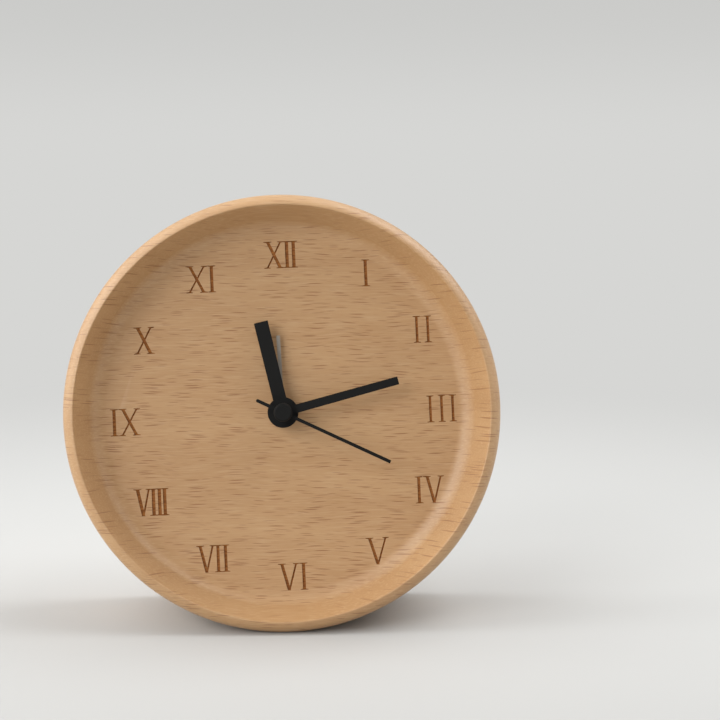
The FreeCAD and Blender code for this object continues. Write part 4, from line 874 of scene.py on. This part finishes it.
    def build(self) -> bpy.types.Object:
        """Turn, cut and dress the case."""
        block = self.turned_block()
        tools = bpy.data.collections.new("case_cutters")
        bpy.context.scene.collection.children.link(tools)
        cutters = self.cutters()
        for cutter in cutters:
            bpy.context.scene.collection.objects.unlink(cutter)
            tools.objects.link(cutter)
        cut = block.modifiers.new("cut", "BOOLEAN")
        cut.operation = "DIFFERENCE"
        cut.solver = "EXACT"
        cut.operand_type = "COLLECTION"
        cut.collection = tools
        graph = bpy.context.evaluated_depsgraph_get()
        finished = bpy.data.meshes.new_from_object(block.evaluated_get(graph))
        block.modifiers.clear()
        rough = block.data
        block.data = finished
        bpy.data.meshes.remove(rough)
        for cutter in cutters:
            mesh = cutter.data
            bpy.data.objects.remove(cutter)
            bpy.data.meshes.remove(mesh)
        bpy.data.collections.remove(tools)
        finished.name = "beech_case"
        self.dress(block)
        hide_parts("case")
        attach(block, "case_and_housing")
        return block

    def dress(self, block: bpy.types.Object) -> None:
        """Give the wood its finish, and the engraved faces theirs."""
        mesh = block.data
        mesh.materials.clear()
        mesh.materials.append(TurnedBeech().material())
        mesh.materials.append(BurntBeech().material())
        to_dial = DIAL.matrix.inverted()
        mesh.shade_smooth()
        for face in mesh.polygons:
            middle = (to_dial @ face.center) / MM
            shallow = -2 * self.numerals.depth < middle.z < -self.flat
            engraved = shallow and middle.xy.length > self.dial_hole + 1
            face.material_index = 1 if engraved else 0
            outward = to_dial.to_3x3() @ face.normal
            if outward.z > self.level and abs(middle.z) < self.flat:
                face.use_smooth = False
        mesh.set_sharp_from_angle(angle=math.radians(self.crease))


@dataclass
class CarriedNodes:
    """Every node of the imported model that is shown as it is, with the finish of its material slot."""

    finishes: dict[str, GrainedFinish | CellJacket] = field(default_factory=lambda: {
        "black_plastic": MOULDED_ABS,
        "knob_plastic": KNOB_ABS,
        "natural_plastic": ACETAL,
        "hand_black": BLACK_ENAMEL,
        "hand_grey": GREY_ENAMEL,
        "steel": NICKEL_PLATE,
        "brass": ROLLED_BRASS,
        "copper_wire": MAGNET_WIRE,
        "ferrite": FERRITE,
        "circuit_green": SOLDER_MASK,
        "chip_black": EPOXY,
        "red_sleeve": PVC_SLEEVE,
        "cell_jacket": CellJacket(),
    })

    def dress(self) -> int:
        """Give each carried node its finish.

        Returns:
            How many nodes were dressed.
        """
        made = {}
        dressed = 0
        for entry in frame["record"]["subparts"]:
            slot = entry["material_slot"]
            if slot not in self.finishes:
                continue
            if slot not in made:
                made[slot] = self.finishes[slot].material()
            node = frame["nodes"][entry["node"]]
            node.data.materials.clear()
            node.data.materials.append(made[slot])
            dressed += 1
        return dressed


@dataclass(frozen=True)
class SoftLamp:
    """A square soft lamp: where it hangs and how wide it is in metres, and its power in watts."""

    name: str
    place: tuple[float, float, float]
    side: float
    watts: float


@dataclass
class Studio:
    """Table and lamps: a pale paper sweep, and large soft lamps, the strongest front left and top right."""

    sweep_radius: float = 4.0
    sweep_sides: int = 96
    paper: str = "#BEBEBC"
    # Painted shade: the paper in front is laid a little darker, standing in for less light falling on the table
    # there
    front_paper_painted_shade: str = "#AEAEAC"
    painted_shade_y: float = -160.0
    paper_y: float = 20.0
    paper_roughness: float = 0.9
    haze_start: float = 50.0
    haze_end: float = 440.0
    sky_low: str = "#D6D6D4"
    sky_high: str = "#CBCBC9"
    sky_height: float = 0.09
    room_level: float = 0.4
    room_bounds: tuple[float, float] = (-0.5, 0.3)
    front_level: float = 0.3
    behind_level: float = 0.85
    fill_bounds: tuple[float, float] = (-0.4, 0.5)
    lamps: tuple[SoftLamp, ...] = (
        SoftLamp("front_left_lamp", (-1.44, -1.62, 1.0), 1.44, 30.0),
        SoftLamp("left_lamp", (-1.9, 0.0, 0.8), 1.44, 18.0),
        SoftLamp("high_left_lamp", (-1.3, -0.7, 1.4), 1.44, 4.0),
        SoftLamp("top_left_lamp", (-1.0, 0.18, 1.5), 1.44, 10.0),
        SoftLamp("top_right_lamp", (1.0, 0.18, 1.5), 1.44, 22.0),
        SoftLamp("right_lamp", (1.9, -0.6, 0.5), 1.44, 4.0),
    )

    def build_floor(self) -> bpy.types.Object:
        """Lay the round sheet of paper that the clock stands on."""
        shape = bmesh.new()
        bmesh.ops.create_circle(shape, cap_ends=True, segments=self.sweep_sides, radius=self.sweep_radius)
        floor = put_in_scene("paper_sweep", shape)
        floor.data.materials.append(self.paper_material())
        return floor

    def seen_ray(self, tree: bpy.types.NodeTree) -> bpy.types.NodeSocket:
        """Return one for the rays that show a backdrop: from the camera, a mirror or clear stock."""
        ray = add_node(tree, "ShaderNodeLightPath")
        both = combined(tree, "MAXIMUM", ray.outputs["Is Camera Ray"], ray.outputs["Is Glossy Ray"])
        return combined(tree, "MAXIMUM", both, ray.outputs["Is Transmission Ray"])

    def paper_material(self) -> bpy.types.Material:
        """Matt coated paper: pale grey, with painted shade that makes it a little darker in front, and lost in the
        backdrop further away.
        """
        material, shader = fresh_material("matt_coated_paper")
        tree = material.node_tree
        base = millimetre_coordinates(tree)
        ahead = add_node(tree, "ShaderNodeSeparateXYZ", {"Vector": base}).outputs["Y"]
        # Painted shade: the paper's colour darkens towards the front of the table
        clear_of_painted_shade = ramp(tree, ahead, self.painted_shade_y, self.paper_y)
        colour = tint(tree, clear_of_painted_shade, linear(self.front_paper_painted_shade), linear(self.paper))
        tree.links.new(colour, shader.inputs["Base Color"])
        shader.inputs["Roughness"].default_value = self.paper_roughness
        distance = add_node(tree, "ShaderNodeVectorMath", {0: base}, operation="LENGTH").outputs["Value"]
        glow = add_node(tree, "ShaderNodeEmission", {"Color": linear(self.sky_low), "Strength": 1.0})
        haze = ramp(tree, distance, self.haze_start, self.haze_end)
        far = combined(tree, "MULTIPLY", haze, self.seen_ray(tree))
        mix = add_node(
            tree, "ShaderNodeMixShader", {0: far, 1: shader.outputs["BSDF"], 2: glow.outputs["Emission"]}
        )
        output = next(node for node in tree.nodes if node.type == "OUTPUT_MATERIAL")
        tree.links.new(mix.outputs["Shader"], output.inputs["Surface"])
        return material

    def build_world(self) -> None:
        """Set a weak fill, stronger from the backdrop, and show the backdrop behind a darker room."""
        world = bpy.data.worlds.new("studio")
        bpy.context.scene.world = world
        world.use_nodes = True
        tree = world.node_tree
        tree.nodes.clear()
        space = add_node(tree, "ShaderNodeTexCoord")
        heading = add_node(tree, "ShaderNodeSeparateXYZ", {"Vector": space.outputs["Generated"]})
        wall = tint(
            tree, ramp(tree, heading.outputs["Z"], 0.0, self.sky_height), linear(self.sky_low),
            linear(self.sky_high)
        )
        backdrop = ramp(tree, heading.outputs["Y"], *self.room_bounds, self.room_level, 1.0)
        ray = add_node(tree, "ShaderNodeLightPath")
        level = combined(tree, "MAXIMUM", backdrop, ray.outputs["Is Camera Ray"])
        seen = add_node(tree, "ShaderNodeBackground", {"Color": wall, "Strength": level})
        fill = ramp(tree, heading.outputs["Y"], *self.fill_bounds, self.front_level, self.behind_level)
        lit = add_node(tree, "ShaderNodeBackground", {"Color": linear("#FFFFFF"), "Strength": fill})
        mix = add_node(
            tree,
            "ShaderNodeMixShader",
            {0: self.seen_ray(tree), 1: lit.outputs["Background"], 2: seen.outputs["Background"]},
        )
        add_node(tree, "ShaderNodeOutputWorld", {"Surface": mix.outputs["Shader"]})

    def hang(self, lamp: SoftLamp) -> None:
        """Hang one soft lamp so that it faces the clock."""
        light = bpy.data.lights.new(lamp.name, "AREA")
        light.shape = "SQUARE"
        light.size = lamp.side
        light.energy = lamp.watts
        hung = bpy.data.objects.new(lamp.name, light)
        hung.location = lamp.place
        hung.rotation_euler = (DIAL.origin - Vector(lamp.place)).to_track_quat("-Z", "Y").to_euler()
        bpy.context.scene.collection.objects.link(hung)

    def build(self) -> None:
        """Build the whole studio."""
        self.build_floor()
        self.build_world()
        for lamp in self.lamps:
            self.hang(lamp)


@dataclass
class Viewpoint:
    """The camera: square to the leaning dial, with the clock left of and below the middle."""

    lens: float = 85.0
    sensor: float = 36.0
    circle_x: float = 283.0
    circle_y: float = 412.45
    circle_radius: float = 218.05
    rim_radius: float = 55.0
    rim_height: float = 5.7
    near: float = 0.01
    far: float = 20.0
    aim_rounds: int = 8

    def build(self) -> bpy.types.Object:
        """Place the camera so that the case's outline falls where the photograph has it."""
        pixels = FRAME_SIDE * self.lens / self.sensor
        distance = self.rim_radius * pixels / self.circle_radius
        target = DIAL.place(0, 0, self.rim_height)
        data = bpy.data.cameras.new("camera")
        data.lens = self.lens
        data.sensor_width = self.sensor
        data.clip_start = self.near
        data.clip_end = self.far
        camera = bpy.data.objects.new("camera", data)
        camera.location = target + DIAL.outward * (distance * MM)
        camera.rotation_euler = self.aim(target - camera.location, pixels)
        bpy.context.scene.collection.objects.link(camera)
        bpy.context.scene.camera = camera
        return camera

    def aim(self, ray: Vector, pixels: float) -> Euler:
        """Return the level camera rotation that puts a ray on the circle's middle in the frame.

        Args:
            ray: direction from the camera to the middle of the case's rim.
            pixels: the lens's focal length in pixels.

        Returns:
            The camera's rotation.
        """
        right = (self.circle_x - FRAME_SIDE / 2) / pixels
        up = -(self.circle_y - FRAME_SIDE / 2) / pixels
        pitch = math.atan2(ray.z, math.hypot(ray.x, ray.y))
        turn = math.atan2(-ray.x, ray.y)
        for _ in range(self.aim_rounds):
            rotation = Euler((math.pi / 2 + pitch, 0.0, turn))
            seen = rotation.to_matrix().transposed() @ ray
            pitch -= up - seen.y / -seen.z
            turn += right - seen.x / -seen.z
        return Euler((math.pi / 2 + pitch, 0.0, turn))


def main() -> None:
    """Build every sub-assembly in order, and log the camera, the case and the carried nodes."""
    logging.basicConfig(level=logging.INFO, format="%(message)s")
    bpy.context.scene.view_settings.view_transform = "Standard"
    camera = Viewpoint().build()
    log.info("camera %.0f mm from the dial", (camera.location - DIAL.origin).length / MM)
    case = Case().build()
    log.info("case with %d faces", len(case.data.polygons))
    log.info("carried nodes dressed: %d", CarriedNodes().dress())
    Studio().build()


if __name__ == "__main__":
    main()
